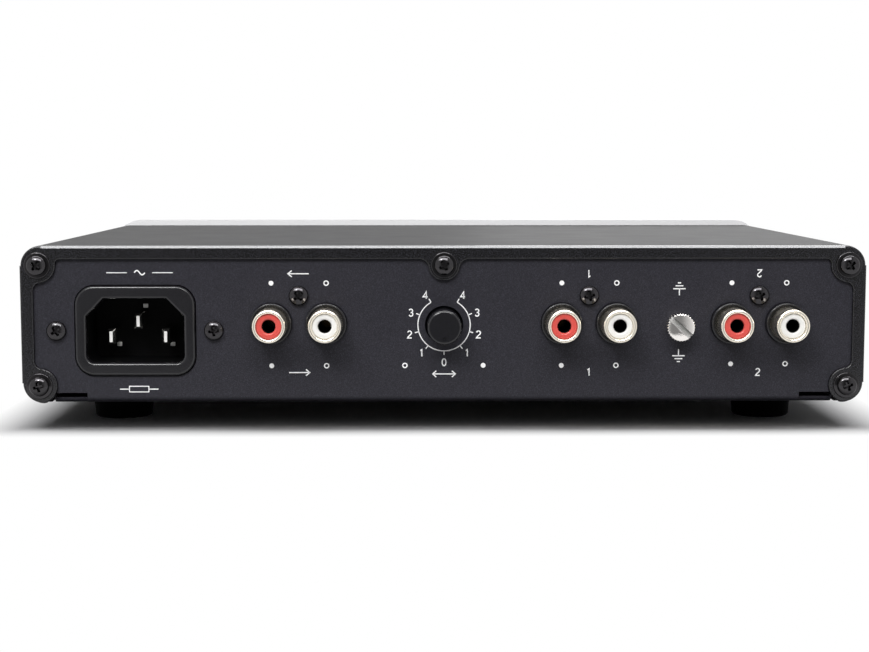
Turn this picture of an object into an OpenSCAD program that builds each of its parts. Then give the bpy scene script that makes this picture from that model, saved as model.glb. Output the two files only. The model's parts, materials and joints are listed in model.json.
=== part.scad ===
// Phono preamp: half-width separate in an extruded sleeve, with a folded chassis,
// a raised rear rim, three pairs of phono sockets, a rear balance control,
// a ground terminal and a mains inlet. Millimetres, +Z up.
// The front faces -Y and the connectors face +Y.
// The origin is at the middle of the box, on the surface that the feet stand on.

/* [Case] */
// Width of the case
case_w = 215; // [212:1:240]
// Height of the case without its feet
case_h = 40; // [39:0.5:48]
// Depth from the rear rim to the back of the fascia
case_d = 134; // [130:1:180]
// Outer corner radius of the case
case_r = 5; // [4:0.5:6]
// Wall of the extruded sleeve
sleeve_wall = 2; // [1.6:0.1:2.4]
// Thickness of the folded chassis sheet
sheet_t = 1.2; // [1:0.1:1.5]
// Width of the groove between the sleeve's lip and the chassis
lip_groove = 1; // [0.6:0.1:1.4]
// Height of a screw port's centre above the bottom edge
port_rise = 4.3; // [4.1:0.1:4.8]
// Depth of a screw port's centre below the top edge
port_drop = 4.9; // [4.6:0.1:5.4]
// Distance of a screw port's centre from the side
port_inset = 4.5; // [4.3:0.1:5]
// Outer radius of a screw port
port_r = 3.2; // [3:0.1:3.4]

/* [Feet] */
// Height of a rubber foot
foot_h = 6.3; // [4.5:0.1:10]
// Radius of a rubber foot
foot_r = 8; // [7:0.5:10]
// Distance of a foot's centre from the side and the ends
foot_inset = 22; // [18:1:26]

/* [Rear rim] */
// Height of the rim above the rear wall
rim_t = 1; // [0.7:0.1:1.5]
// Width of the rim at the sides
rim_side = 3.25; // [2.9:0.05:3.6]
// Width of the rim at the top
rim_top = 3.4; // [3:0.1:3.8]
// Radius of the lugs round the corner screws
lug_r = 4.5; // [4.2:0.1:4.8]
// Radius of the lug round the top centre screw
centre_lug_r = 4; // [3.8:0.1:4.4]
// How far the corners lie inside the sides
side_step = 0.25; // [0.1:0.05:0.4]
// Bevel along the rim's top edge
rim_bevel = 0.85; // [0.5:0.05:1]

/* [Mains inlet] */
// Distance of the inlet's centre from the side of the case
inlet_inset = 28.9; // [28.5:0.1:30]
// Height of the inlet's centre above the bottom edge
inlet_z = 18.4; // [18:0.1:19]
// Width of the inlet's shroud
inlet_w = 30.5; // [30:0.1:31]
// Height of the inlet's shroud
inlet_h = 23; // [22.5:0.1:23.5]
// Pitch of the inlet's fixing screws
inlet_pitch = 40; // [39:0.5:41]
// Depth of the cavity that takes the connector
cavity_d = 15; // [13:0.5:17]
// How far the shroud stands out of the rear wall
inlet_proud = 0.9; // [0.5:0.1:1.4]
// Pitch of the line and neutral pins
pin_pitch = 14; // [13.5:0.1:14.5]
// How far the pin tips lie inside the mouth of the cavity
pin_recess = 5.2; // [4:0.1:6]

/* [Phono sockets] */
// Height of the sockets above the bottom edge
jack_z = 20.2; // [19.5:0.1:21]
// Pitch of the two sockets of a pair
jack_pitch = 14; // [13.5:0.5:15]
// Distance of the middle of the output pair from the inlet's centre
output_from_inlet = 41.6; // [41:0.1:44]
// Distance of the middle of the first input pair from the second
mm_from_mc = 43.4; // [41:0.1:44]
// Distance of the middle of the second input pair from the side
mc_inset = 27.1; // [26:0.1:28]
// Outer radius of a socket's sleeve
sleeve_r = 4.2; // [4.15:0.05:4.25]
// Wall of a socket's sleeve
sleeve_t = 0.75; // [0.6:0.05:0.8]
// Radius of the hole that takes the plug's pin
pin_hole_r = 1.7; // [1.65:0.05:1.8]
// Outer radius of a socket's collar
collar_r = 5.25; // [5.2:0.05:5.5]
// How far a collar stands out of the rear wall
collar_out = 1.8; // [1.5:0.1:2.2]
// How far the sockets stand out of the rear rim
jack_out = 8; // [7:0.5:10]
// Height of a block's fixing screw above the sockets
jack_screw_rise = 7.1; // [6.9:0.1:7.3]

/* [Balance knob] */
// Height of the balance knob above the bottom edge
knob_z = 19.8; // [19:0.1:21]
// Radius of the balance knob at its base
knob_r = 4.45; // [4.2:0.05:4.6]
// Clear space round the balance knob in the rear wall
knob_gap = 0.45; // [0.3:0.05:0.6]
// How far the balance knob stands out of the rear wall
knob_out = 7.5; // [6:0.5:8]

/* [Ground terminal] */
// Distance of the ground terminal from the middle of the second input pair
ground_from_mc = 20.4; // [19.5:0.1:21]
// Height of the ground terminal above the bottom edge
ground_z = 19.4; // [18.5:0.1:20.5]
// Tip radius of the terminal's knurled head
head_r = 3.62; // [3.4:0.01:4]
// Length of the terminal's knurled head
head_h = 4; // [3:0.5:5]
// Number of knurled teeth
teeth = 30; // [24:1:36]
// Radius of the terminal's stud
stud_r = 2; // [1.5:0.1:2.2]
// Width of the driver slot
slot_w = 1.8; // [1:0.1:2]

/* [Front panel] */
// Thickness of the fascia
fascia_t = 6; // [5.5:0.1:8]
// How far the fascia stands above and below the case
fascia_rise = 1.7; // [1:0.1:2.5]
// Corner radius of the fascia
fascia_r = 8.5; // [7:0.5:9]
// Bevel round the fascia's front edge
fascia_bevel = 0.8; // [0.4:0.1:1.2]
// Depth of the pocket in the fascia's back
pocket_d = 2; // [1.8:0.1:2.2]
// Distance of the volume knob from the side
volume_inset = 33.5; // [30:0.5:37]
// Radius of the volume knob
volume_r = 12.5; // [10:0.5:14]
// How far the volume knob stands out of the fascia
volume_out = 11; // [9:0.5:14]
// Distance of the headphone socket from the volume knob
phones_from_volume = 50; // [45:1:54]
// Radius of the headphone socket's hole
phones_r = 3.2; // [3.18:0.01:3.3]
// Distance of the power button from the side
power_inset = 19.5; // [17:0.5:23]
// Distance of the input selector button from the power button
selector_from_power = 40; // [36:1:44]
// Radius of the push buttons
button_r = 4.5; // [3.5:0.5:5]
// Travel of the push buttons
button_travel = 2; // [1.5:0.1:2]

/* [Circuit boards] */
// Height of the standoffs under the boards
standoff_h = 5; // [4.5:0.1:6]
// Thickness of a circuit board
board_t = 1.6; // [1.2:0.1:2]
// Place of the split between the main board and the supply board
board_split = 52; // [51.5:0.1:52.5]
// Depth from the front wall to the front board
control_d = 9; // [8.5:0.5:10]

/* [Fits] */
// Clearance round a screw in a drilled hole
drill_gap = 0.15; // [0.1:0.05:0.3]
// Running clearance round a turning shaft
running_gap = 0.05; // [0.03:0.01:0.08]
// Clearance of a pressed or moulded-in piece
press_gap = 0.02; // [0.01:0.01:0.03]
// Clearance between pieces that don't touch
free_gap = 0.3; // [0.2:0.05:0.4]
// Clearance between two flat faces that slide or part
face_gap = 0.1; // [0.05:0.05:0.15]

/* [Hidden] */
$fn = 64;

// Levels along Y, from the sockets at the rear to the volume knob at the front
whole_d = jack_out + case_d + fascia_t + volume_out;
rear_y = whole_d / 2 - jack_out;
wall_out = rear_y - rim_t;
wall_in = wall_out - sheet_t;
front_y = rear_y - case_d;
front_wall_in = front_y + sheet_t;
pocket_y = front_y - pocket_d;
fascia_y = front_y - fascia_t;

// Levels along Z, from the floor up
case_z = foot_h;
mid_z = case_z + case_h / 2;
top_z = case_z + case_h;
base_top = case_z + sheet_t;
board_z = base_top + standoff_h;
board_top = board_z + board_t;

// Screw sizes
m3_r = 1.5;
m3_head_r = 2.5;
m3_head_h = 1.7;
tapping_r = 1.3;
frame_washer_r = 3.35;
washer_rise = 0.45;

// Places of the screw ports from the middle of the section: four corners and the top centre
port_x = case_w / 2 - port_inset;
port_top = case_h / 2 - port_drop;
port_low = port_rise - case_h / 2;
corner_ports = [[-port_x, port_top], [port_x, port_top], [-port_x, port_low], [port_x, port_low]];
all_ports = concat(corner_ports, [[0, port_top]]);

// Chassis floor, between the sleeve's lips
lip_x = port_x - port_r + 0.6;
floor_x = lip_x - lip_groove;
ledge_in = 5.5;
ledge_t = 1;
ledge_gap = 0.15;
ledge_z = sheet_t + ledge_gap;
bend_r = sheet_t + 0.4;

// Rear wall: it fills the frame's skirt
skirt_t = 1.6;
wall_x = case_w / 2 - skirt_t - 0.2;
wall_top = case_h - skirt_t - 0.2;
hook_slot = [8.2, 1.65];
hook_slot_x = lip_x - 5.2;
hook_slot_z = 1.63;

// Connectors along the rear
inlet_x = case_w / 2 - inlet_inset;
output_x = inlet_x - output_from_inlet;
mc_x = mc_inset - case_w / 2;
mm_x = mc_x + mm_from_mc;
ground_x = mc_x + ground_from_mc;
pair_x = [output_x, mm_x, mc_x];
balance_x = 0;

// Mains inlet
shroud_r = 5;
shroud_gap = 0.25;
shroud_bevel = 0.5;
inlet_front = wall_out + inlet_proud;
cavity_floor = inlet_front - cavity_d;
inlet_floor_t = 2;
inlet_back = cavity_floor - inlet_floor_t;
flange_t = 2.5;
cavity_w = 24.8;
cavity_h = 16.4;
cavity_chamfer = 4.5;
cavity_r = 2;
pin_t = 2;
pin_h = 4;
earth_rise = 4;
live_drop = 2;
tab_h = 4.8;
tab_t = 0.8;
tab_len = 8;
tab_end = inlet_back - tab_len;

// Phono socket blocks
block_w = 2 * jack_pitch - 1;
block_d = 11;
block_rise = 9.7;
block_back = wall_in - block_d;
collar_y = wall_out + collar_out;
collar_recess = 1.2;
collar_lip = 0.45;
collar_floor = collar_y - collar_recess;
jack_front = rear_y + jack_out;
jack_seat = wall_in - 5;
shank_extra = 0.4;
insulator_recess = 0.6;
contact_r = 2.2;
jack_tail = [1.2, 0.8];

// Balance control
knob_back = wall_in - 4;
knob_front = wall_out + knob_out;
knob_tip_r = knob_r - 0.25;
knob_fillet = 0.9;
balance_shaft_r = 2.95;
balance_bush_r = 4;
balance_bush_end = knob_back - 0.5;
balance_face = balance_bush_end - 3;
balance_body = [12, 8];
balance_body_back = balance_face - balance_body[1];
balance_shaft_end = balance_face - 5;

// Ground terminal
insert_r = stud_r + 1.1;
insert_len = 4.5;
insert_back = wall_out - insert_len;
washer_t = 0.6;
washer_y = wall_out + face_gap;
head_y = washer_y + washer_t + face_gap;
stud_end = insert_back - 4;
tag_t = 0.5;
slot_turn = 42;

// Front panel
volume_x = case_w / 2 - volume_inset;
phones_x = volume_x - phones_from_volume;
power_x = power_inset - case_w / 2;
selector_x = power_x + selector_from_power;
fascia_h = case_h + 2 * fascia_rise;
pocket_rim = 1.5;
pocket_w = case_w - 2 * pocket_rim;
pocket_h = case_h - 2 * pocket_rim;
pocket_r = 3.5;
relief_d = 2;
control_z = mid_z;
board_face = front_wall_in + control_d;
front_board_back = board_face + board_t;

// Volume control
volume_shaft_r = 3;
volume_bush_r = volume_shaft_r + 0.9;
volume_bush_end = pocket_y - 2.3;
volume_nut_af = 10;
volume_nut_t = 1.8;
volume_knob_back = fascia_y - 0.4;
volume_knob_front = fascia_y - volume_out;

// Headphone socket
phones_bush_r = phones_r + 1.4;
phones_body = [15, 15, 28];
phones_ring_r = phones_bush_r + 1.8;
phones_ring_t = 1.4;

// Push buttons and light pipes
button_out = 2.5;
button_flange_r = button_r + 1.1;
button_flange_t = 1;
button_stem_r = 1.45;
button_hole_gap = 0.3;
switch_size = [8, 6];
led_r = 1.5;
led_step = 12;
led_pitch = 8;
led_places = [power_x + led_step, selector_x + led_step, selector_x + led_step + led_pitch];
fascia_screw_rise = 12;
fascia_screw_places = [for (x = [(power_x + selector_x) / 2, (volume_x + phones_x) / 2],
                            z = [-fascia_screw_rise, fascia_screw_rise]) [x, z]];

// Circuit boards
board_side = 9.5;
main_w = [board_side - case_w / 2, board_split - 2];
psu_w = [board_split + 2, case_w / 2 - board_side];
boards_front = front_y + 18.5;
main_rear = wall_in - 1.3;
psu_rear = tab_end - 8;
hole_inset = 4.5;
main_front_row = boards_front + hole_inset;
main_rear_row = block_back - 6;
main_holes = [
  [main_w[0] + hole_inset, main_front_row], [main_w[1] - hole_inset, main_front_row],
  [main_w[0] + hole_inset, main_rear_row], [main_w[1] - hole_inset, main_rear_row],
  [(main_w[0] + main_w[1]) / 2, main_front_row]
];
psu_holes = [for (x = [psu_w[0] + hole_inset, psu_w[1] - hole_inset],
                  y = [boards_front + hole_inset, psu_rear - hole_inset]) [x, y]];
board_holes = concat(main_holes, psu_holes);
standoff_r = 2.75;

// ---------------------------------------------------------------- shared shapes

// A flat outline in X and Z, extruded along Y from y0 to y1
module along_y(y0, y1)
  translate([0, y1, 0])
    rotate([90, 0, 0])
      linear_extrude(y1 - y0)
        children();

// A flat outline in Y and Z, extruded along X from x0 to x1
module along_x(x0, x1)
  translate([x0, 0, 0])
    rotate([90, 0, 90])
      linear_extrude(x1 - x0)
        children();

// A round bar along Y
module bar(x, z, r, y0, y1)
  translate([x, y1, z])
    rotate([90, 0, 0])
      cylinder(r = r, h = y1 - y0);

// A turned profile standing on the plane y, pointing to the rear
module turned_rear(x, y, z)
  translate([x, y, z])
    rotate([-90, 0, 0])
      rotate_extrude()
        children();

// A turned profile standing on the plane y, pointing to the front
module turned_front(x, y, z)
  translate([x, y, z])
    rotate([90, 0, 0])
      rotate_extrude()
        children();

module rounded_rect(w, h, r) {
  square([w - 2 * r, h], center = true);
  square([w, h - 2 * r], center = true);
  for (x = [-1, 1], y = [-1, 1])
    translate([x * (w / 2 - r), y * (h / 2 - r)])
      circle(r = r);
}

// Rounded plate along Y whose edge at y1 has a bevel: cones at the corners, wedges between
module bevelled_plate(w, h, r, y0, y1, bevel) {
  along_y(y0, y1 - bevel)
    rounded_rect(w, h, r);
  for (x = [-1, 1], z = [-1, 1])
    translate([x * (w / 2 - r), y1 - bevel, z * (h / 2 - r)])
      rotate([-90, 0, 0])
        cylinder(r1 = r, r2 = r - bevel, h = bevel);
  along_x(r - w / 2, w / 2 - r)
    polygon([[y1 - bevel, -h / 2], [y1, bevel - h / 2], [y1, h / 2 - bevel], [y1 - bevel, h / 2]]);
  translate([0, 0, r - h / 2])
    linear_extrude(h - 2 * r)
      polygon([[-w / 2, y1 - bevel], [w / 2, y1 - bevel], [w / 2 - bevel, y1], [bevel - w / 2, y1]]);
}

module block(x0, x1, y0, y1, z0, z1)
  translate([x0, y0, z0])
    cube([x1 - x0, y1 - y0, z1 - z0]);

// Half outline of a pan head on a shank: the head's flat face lies at height 0
module pan_profile(head_r, head_h, shank_r, shank_len) {
  intersection() {
    translate([0, head_h - 2.4 * head_r])
      circle(r = 2.4 * head_r, $fn = 96);
    square([head_r, head_h]);
  }
  translate([0, -shank_len])
    square([shank_r, shank_len + head_h / 2]);
}

// Cross recess of a screw head whose top lies at height h
module cross_recess(h) {
  for (a = [0, 90])
    rotate(a)
      translate([-1.35, -0.4, h - 1])
        cube([2.7, 0.8, 1.2]);
}

module pan_screw(head_r, head_h, shank_r, shank_len)
  difference() {
    rotate_extrude()
      pan_profile(head_r, head_h, shank_r, shank_len);
    cross_recess(head_h);
  }

// Pan screws driven towards the front, their heads on the plane y
module screw_from_rear(x, y, z, shank_r, shank_len, head_r = m3_head_r)
  translate([x, y, z])
    rotate([-90, 0, 0])
      pan_screw(head_r, m3_head_h, shank_r, shank_len);

// Pan screws driven towards the rear, their heads on the plane y
module screw_from_front(x, y, z, shank_r, shank_len, head_r = m3_head_r)
  translate([x, y, z])
    rotate([90, 0, 0])
      pan_screw(head_r, m3_head_h, shank_r, shank_len);

// ---------------------------------------------------------------- case

module port_web(p, reach)
  translate([p[0] - 1, p[1]])
    square([2, reach]);

// Section of the sleeve in X and Z, from the middle of the case
module sleeve_section()
  difference() {
    union() {
      difference() {
        rounded_rect(case_w, case_h, case_r);
        rounded_rect(case_w - 2 * sleeve_wall, case_h - 2 * sleeve_wall, case_r - sleeve_wall);
        translate([-lip_x, -case_h / 2 - 1])
          square([2 * lip_x, sleeve_wall + 2]);
      }
      for (p = all_ports)
        translate(p)
          circle(r = port_r);
      for (p = [for (q = all_ports) if (q[1] > 0) q])
        port_web(p, port_drop - sleeve_wall / 2);
      for (s = [-1, 1])
        translate([s * (port_x - ledge_in / 2), ledge_z + ledge_t / 2 - case_h / 2])
          square([ledge_in, ledge_t], center = true);
    }
    for (p = all_ports)
      translate(p)
        circle(r = tapping_r + press_gap);
  }

module cover_sleeve()
  color("dimgray")
    along_y(front_y, wall_in)
      translate([0, mid_z])
        sleeve_section();

// Outline of the rear frame: the straight sides stand a little outside the corners
module frame_outline() {
  rounded_rect(case_w - 2 * side_step, case_h, case_r);
  square([case_w, case_h - 2 * case_r], center = true);
}

// Concave fillet of radius r between a lug and the rim's edge. The lug lies at lug,
// the edge at distance reach from the lug's centre, and side turns it left or right.
// The fillet crosses both by a hair, so that no two curves only touch.
module lug_fillet(lug, lug_radius, reach, r, side, turn) {
  hair = 0.02;
  drop = reach - r + hair;
  along = sqrt(pow(lug_radius + r - hair, 2) - pow(drop, 2));
  centre = [side * along, drop];
  touch = centre * (lug_radius / (lug_radius + r));
  translate(lug)
    rotate(turn)
      difference() {
        polygon([[0, 0], touch, centre, [centre[0], reach + 0.2], [0, reach + 0.2]]);
        translate(centre)
          circle(r = r);
      }
}

module rim_outline() {
  top_reach = port_drop - rim_top;
  side_reach = port_inset - rim_side;
  intersection() {
    frame_outline();
    union() {
      difference() {
        square([case_w + 2, case_h + 2], center = true);
        translate([0, -rim_top - 2])
          square([case_w - 2 * rim_side, case_h + 4], center = true);
      }
      for (p = corner_ports)
        translate(p)
          circle(r = lug_r);
      translate([0, port_top])
        circle(r = centre_lug_r);
      for (s = [-1, 1]) {
        lug_fillet([0, port_top], centre_lug_r, top_reach, 2.5, s, 0);
        lug_fillet([s * port_x, port_top], lug_r, top_reach, 1.2, -s, 0);
        lug_fillet([s * port_x, port_top], lug_r, side_reach, 2, -s, -90 * s);
        lug_fillet([s * port_x, port_low], lug_r, side_reach, 2, s, -90 * s);
      }
    }
  }
}

// Outline of the rear wall's plate, without the folded edge
module wall_outline(grow) {
  corner = case_r - skirt_t;
  translate([0, (wall_top - case_h) / 2])
    rounded_rect(2 * wall_x + 2 * grow, wall_top + 2 * grow, corner + grow);
}

module rear_frame()
  color("#1c1c1f")
    difference() {
      union() {
        along_y(wall_out, rear_y)
          translate([0, mid_z])
            rim_outline();
        along_y(wall_in, wall_out)
          translate([0, mid_z])
            difference() {
              frame_outline();
              wall_outline(0.2);
              translate([-floor_x - 1, -case_h / 2 - 1])
                square([2 * floor_x + 2, case_h / 2]);
            }
      }
      for (p = all_ports)
        bar(p[0], mid_z + p[1], tapping_r + drill_gap, wall_in - 1, rear_y + 1);
      // bevelled top edge between the rounded corners
      translate([0, rear_y, top_z])
        rotate([45, 0, 0])
          cube([case_w - 2 * (side_step + case_r) - 0.5, rim_bevel * sqrt(2), rim_bevel * sqrt(2)],
               center = true);
    }

module vent_rows()
  for (side = [-1, 1], k = [0:9])
    translate([side * 52 - 27 + 6 * k, 0])
      for (y = [-6, 22])
        translate([0, y]) {
          square([2.4, 14], center = true);
          for (e = [-7, 7])
            translate([0, e])
              circle(r = 1.2);
        }

foot_places = [for (x = [-1, 1], y = [front_y + foot_inset, rear_y - foot_inset])
               [x * (case_w / 2 - foot_inset), y]];

module chassis_floor()
  difference() {
    block(-floor_x, floor_x, front_wall_in + face_gap, wall_in - face_gap, case_z, base_top);
    translate([0, 0, case_z - 1])
      linear_extrude(sheet_t + 2) {
        vent_rows();
        for (p = foot_places)
          translate(p)
            circle(r = m3_r + press_gap);
      }
  }

// Everything cut through the rear wall, in X and Z from the floor
module rear_wall_cuts() {
  translate([inlet_x, case_z + inlet_z]) {
    rounded_rect(inlet_w + 2 * shroud_gap, inlet_h + 2 * shroud_gap, shroud_r + shroud_gap);
    for (s = [-1, 1])
      translate([s * inlet_pitch / 2, 0])
        circle(r = m3_r + drill_gap);
  }
  for (x = pair_x)
    translate([x, case_z + jack_z]) {
      for (s = [-1, 1])
        translate([s * jack_pitch / 2, 0])
          circle(r = collar_r + face_gap);
      translate([0, jack_screw_rise])
        circle(r = tapping_r + drill_gap);
    }
  translate([balance_x, case_z + knob_z])
    circle(r = knob_r + knob_gap);
  translate([ground_x, case_z + ground_z])
    circle(r = insert_r + press_gap);
  for (p = all_ports)
    translate([p[0], mid_z + p[1]])
      circle(r = tapping_r + drill_gap);
  for (s = [-1, 1])
    translate([s * hook_slot_x, case_z + hook_slot_z])
      square(hook_slot, center = true);
}

module rear_wall()
  along_y(wall_in, wall_out)
    difference() {
      union() {
        intersection() {
          translate([0, mid_z])
            wall_outline(0);
          translate([-wall_x, case_z + bend_r + 0.4])
            square([2 * wall_x, case_h]);
        }
        translate([-floor_x, case_z])
          square([2 * floor_x, case_h / 2]);
      }
      rear_wall_cuts();
    }

// Places of the controls on the front, with the radius of their holes
front_holes = concat(
  [[volume_x, volume_bush_r + face_gap], [phones_x, phones_bush_r + face_gap]],
  [for (x = [power_x, selector_x]) [x, button_flange_r + free_gap]],
  [for (x = led_places) [x, led_r + face_gap]]
);

module front_wall_cuts() {
  for (h = front_holes)
    translate([h[0], control_z])
      circle(r = h[1]);
  for (p = fascia_screw_places)
    translate([p[0], control_z + p[1]])
      circle(r = tapping_r + drill_gap);
}

module front_wall()
  along_y(front_y, front_wall_in)
    difference() {
      translate([-floor_x, case_z])
        square([2 * floor_x, case_h - sleeve_wall - free_gap]);
      front_wall_cuts();
      translate([0, mid_z + port_top]) {
        circle(r = port_r + free_gap);
        translate([-port_r - free_gap, 0])
          square([2 * (port_r + free_gap), case_h]);
      }
      for (s = [-1, 1])
        translate([s * floor_x, case_z + ledge_z + ledge_t / 2])
          square([2 * (floor_x - port_x + ledge_in + free_gap), ledge_t + 2 * ledge_gap], center = true);
    }

// Rounds the outside of a fold that runs along X: a square bar less a quarter round
module fold_cut(y, side)
  along_x(-floor_x - 1, floor_x + 1)
    translate([y, case_z])
      difference() {
        translate([side > 0 ? -bend_r : -1, -1])
          square([bend_r + 1, bend_r + 1]);
        translate([-side * bend_r, bend_r])
          circle(r = bend_r);
      }

// Three plates: the walls stand a hair off the ends of the floor
module chassis()
  color("#2e2e32") {
    chassis_floor();
    difference() {
      rear_wall();
      fold_cut(wall_out, 1);
    }
    difference() {
      front_wall();
      fold_cut(front_y, -1);
    }
  }

// Each screw carries a washer of its own, rolled under its head
module frame_screws()
  color("#202022")
    for (p = all_ports) {
      screw_from_rear(p[0], rear_y + washer_rise, mid_z + p[1], tapping_r, 12 + washer_rise);
      turned_rear(p[0], rear_y, mid_z + p[1])
        polygon([[0, 0], [frame_washer_r, 0], [frame_washer_r, washer_rise - 0.15],
                 [frame_washer_r - 0.15, washer_rise], [0, washer_rise]]);
    }

module foot(place)
  color("#141414")
    translate([place[0], place[1], 0])
      difference() {
        cylinder(r1 = foot_r - 0.6, r2 = foot_r, h = foot_h);
        translate([0, 0, -1])
          cylinder(r = m3_r + drill_gap, h = foot_h + 2);
        translate([0, 0, -1])
          cylinder(r = m3_head_r + 0.8, h = foot_h / 2 + 1);
      }

module foot_screws()
  color("gray")
    for (p = foot_places)
      translate([p[0], p[1], foot_h / 2])
        rotate([180, 0, 0])
          pan_screw(m3_head_r, m3_head_h, m3_r, foot_h / 2 + sheet_t + 2);

// ---------------------------------------------------------------- front panel

module fascia()
  color("silver")
    difference() {
      translate([0, 0, mid_z])
        mirror([0, 1, 0])
          bevelled_plate(case_w, fascia_h, fascia_r, -front_y, -fascia_y, fascia_bevel);
      along_y(pocket_y, front_y + 1)
        translate([0, mid_z])
          rounded_rect(pocket_w, pocket_h, pocket_r);
      for (p = all_ports)
        bar(p[0], mid_z + p[1], m3_head_r + free_gap, pocket_y - relief_d, front_y);
      bar(volume_x, control_z, volume_nut_af / 2 + 1.2, pocket_y - relief_d - 0.2, front_y);
      bar(volume_x, control_z, volume_bush_r + face_gap, fascia_y - 1, front_y);
      bar(phones_x, control_z, phones_bush_r + face_gap, fascia_y - 1, front_y);
      for (x = [power_x, selector_x])
        bar(x, control_z, button_r + button_hole_gap, fascia_y - 1, front_y);
      for (x = led_places)
        bar(x, control_z, led_r + face_gap, fascia_y - 1, front_y);
      for (p = fascia_screw_places)
        bar(p[0], control_z + p[1], tapping_r + press_gap, pocket_y - 2.5, front_y);
    }

module front_subframe()
  color("gray")
    along_y(pocket_y, front_y)
      difference() {
        translate([0, mid_z])
          rounded_rect(pocket_w - 2 * face_gap, pocket_h - 2 * face_gap, pocket_r - face_gap);
        front_wall_cuts();
        for (p = all_ports)
          translate([p[0], mid_z + p[1]])
            circle(r = tapping_r + drill_gap);
      }

module subframe_screws()
  color("gray")
    for (p = all_ports)
      screw_from_front(p[0], pocket_y, mid_z + p[1], tapping_r, 12);

module fascia_screws()
  color("gray")
    for (p = fascia_screw_places)
      screw_from_rear(p[0], front_wall_in, control_z + p[1], tapping_r, sheet_t + pocket_d + 2.2);

// ---------------------------------------------------------------- mains inlet

// Mouth of the cavity: chamfered at the top, rounded at the bottom
module cavity_outline()
  difference() {
    square([cavity_w, cavity_h], center = true);
    for (s = [-1, 1]) {
      translate([s * cavity_w / 2, cavity_h / 2])
        rotate(45)
          square(cavity_chamfer * sqrt(2), center = true);
      translate([s * (cavity_w / 2 - cavity_r), cavity_r - cavity_h / 2])
        difference() {
          translate([s * cavity_r, -cavity_r])
            square(2 * cavity_r, center = true);
          circle(r = cavity_r);
        }
    }
  }

// Places of the line, neutral and earth pins from the middle of the inlet
pin_places = [[-pin_pitch / 2, -live_drop], [pin_pitch / 2, -live_drop], [0, earth_rise - live_drop]];

module inlet_flange() {
  rounded_rect(inlet_w + 3.5, inlet_h + 3.5, shroud_r);
  rounded_rect(inlet_pitch + 9, 9, 4.4);
}

module mains_inlet_shell()
  color("#19191b")
    difference() {
      union() {
        translate([inlet_x, 0, case_z + inlet_z])
          bevelled_plate(inlet_w, inlet_h, shroud_r, inlet_back, inlet_front, shroud_bevel);
        along_y(wall_in - flange_t, wall_in)
          translate([inlet_x, case_z + inlet_z])
            inlet_flange();
      }
      along_y(cavity_floor, inlet_front + 1)
        translate([inlet_x, case_z + inlet_z])
          cavity_outline();
      along_y(inlet_back - 1, cavity_floor + 1)
        translate([inlet_x, case_z + inlet_z])
          for (p = pin_places)
            translate(p)
              square([pin_t + 2 * press_gap, pin_h + 2 * press_gap], center = true);
      for (s = [-1, 1])
        bar(inlet_x + s * inlet_pitch / 2, case_z + inlet_z, m3_r + drill_gap,
            wall_in - flange_t - 1, wall_in + 1);
    }

module inlet_pins()
  color("silver")
    for (p = pin_places)
      translate([inlet_x + p[0], 0, case_z + inlet_z + p[1]]) {
        along_y(inlet_back, inlet_front - pin_recess)
          square([pin_t, pin_h], center = true);
        along_y(tab_end, inlet_back)
          square([tab_t, tab_h], center = true);
      }

module inlet_screws()
  color("#202022")
    for (s = [-1, 1])
      screw_from_rear(inlet_x + s * inlet_pitch / 2, wall_out, case_z + inlet_z, m3_r,
                      sheet_t + flange_t + 4);

module inlet_nuts()
  color("silver")
    for (s = [-1, 1])
      translate([inlet_x + s * inlet_pitch / 2, 0, case_z + inlet_z])
        along_y(wall_in - flange_t - 2.4, wall_in - flange_t)
          difference() {
            circle(r = 5.5 / sqrt(3), $fn = 6);
            circle(r = m3_r + press_gap);
          }

// ---------------------------------------------------------------- phono sockets

module collar_profile() {
  len = collar_y - wall_in;
  bevel = 0.25;
  polygon([[0, 0], [collar_r, 0], [collar_r, len - bevel], [collar_r - bevel, len], [0, len]]);
}

module jack_block(x)
  color("#1b1b1d")
    difference() {
      union() {
        block(x - block_w / 2, x + block_w / 2, block_back, wall_in,
              board_top, case_z + jack_z + block_rise);
        for (s = [-1, 1])
          turned_rear(x + s * jack_pitch / 2, wall_in, case_z + jack_z)
            collar_profile();
      }
      for (s = [-1, 1]) {
        bar(x + s * jack_pitch / 2, case_z + jack_z, sleeve_r + shank_extra + press_gap,
            jack_seat, collar_y + 1);
        bar(x + s * jack_pitch / 2, case_z + jack_z, collar_r - collar_lip,
            collar_floor, collar_y + 1);
        bar(x + s * jack_pitch / 2, case_z + jack_z, contact_r + press_gap,
            block_back - 1, jack_seat + 1);
      }
      bar(x, case_z + jack_z + jack_screw_rise, tapping_r + press_gap, block_back + 2, wall_in + 1);
      // relief between the two halves, open at the back
      block(x - 0.8, x + 0.8, block_back - 1, block_back + 5, board_top - 1, case_z + jack_z + 3);
    }

// Half section of one sleeve, standing on the seat: stepped shank, round lip at the mouth
module jack_sleeve_profile() {
  inner = sleeve_r - sleeve_t;
  lip = sleeve_t / 2;
  translate([inner, 0])
    square([sleeve_t + shank_extra, collar_floor - jack_seat]);
  translate([inner, 0])
    square([sleeve_t, jack_front - jack_seat - lip]);
  translate([inner + lip, jack_front - jack_seat - lip])
    circle(r = lip, $fn = 32);
}

module jack_sleeves(x)
  color("#d8d6cf")
    for (s = [-1, 1])
      turned_rear(x + s * jack_pitch / 2, jack_seat, case_z + jack_z)
        jack_sleeve_profile();

module insulator_profile() {
  len = jack_front - insulator_recess - jack_seat;
  outer = sleeve_r - sleeve_t - press_gap;
  lead = 0.4;
  polygon([[pin_hole_r, 0], [outer, 0], [outer, len - 0.3], [outer - 0.3, len],
           [pin_hole_r + lead, len], [pin_hole_r, len - lead]]);
}

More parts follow.
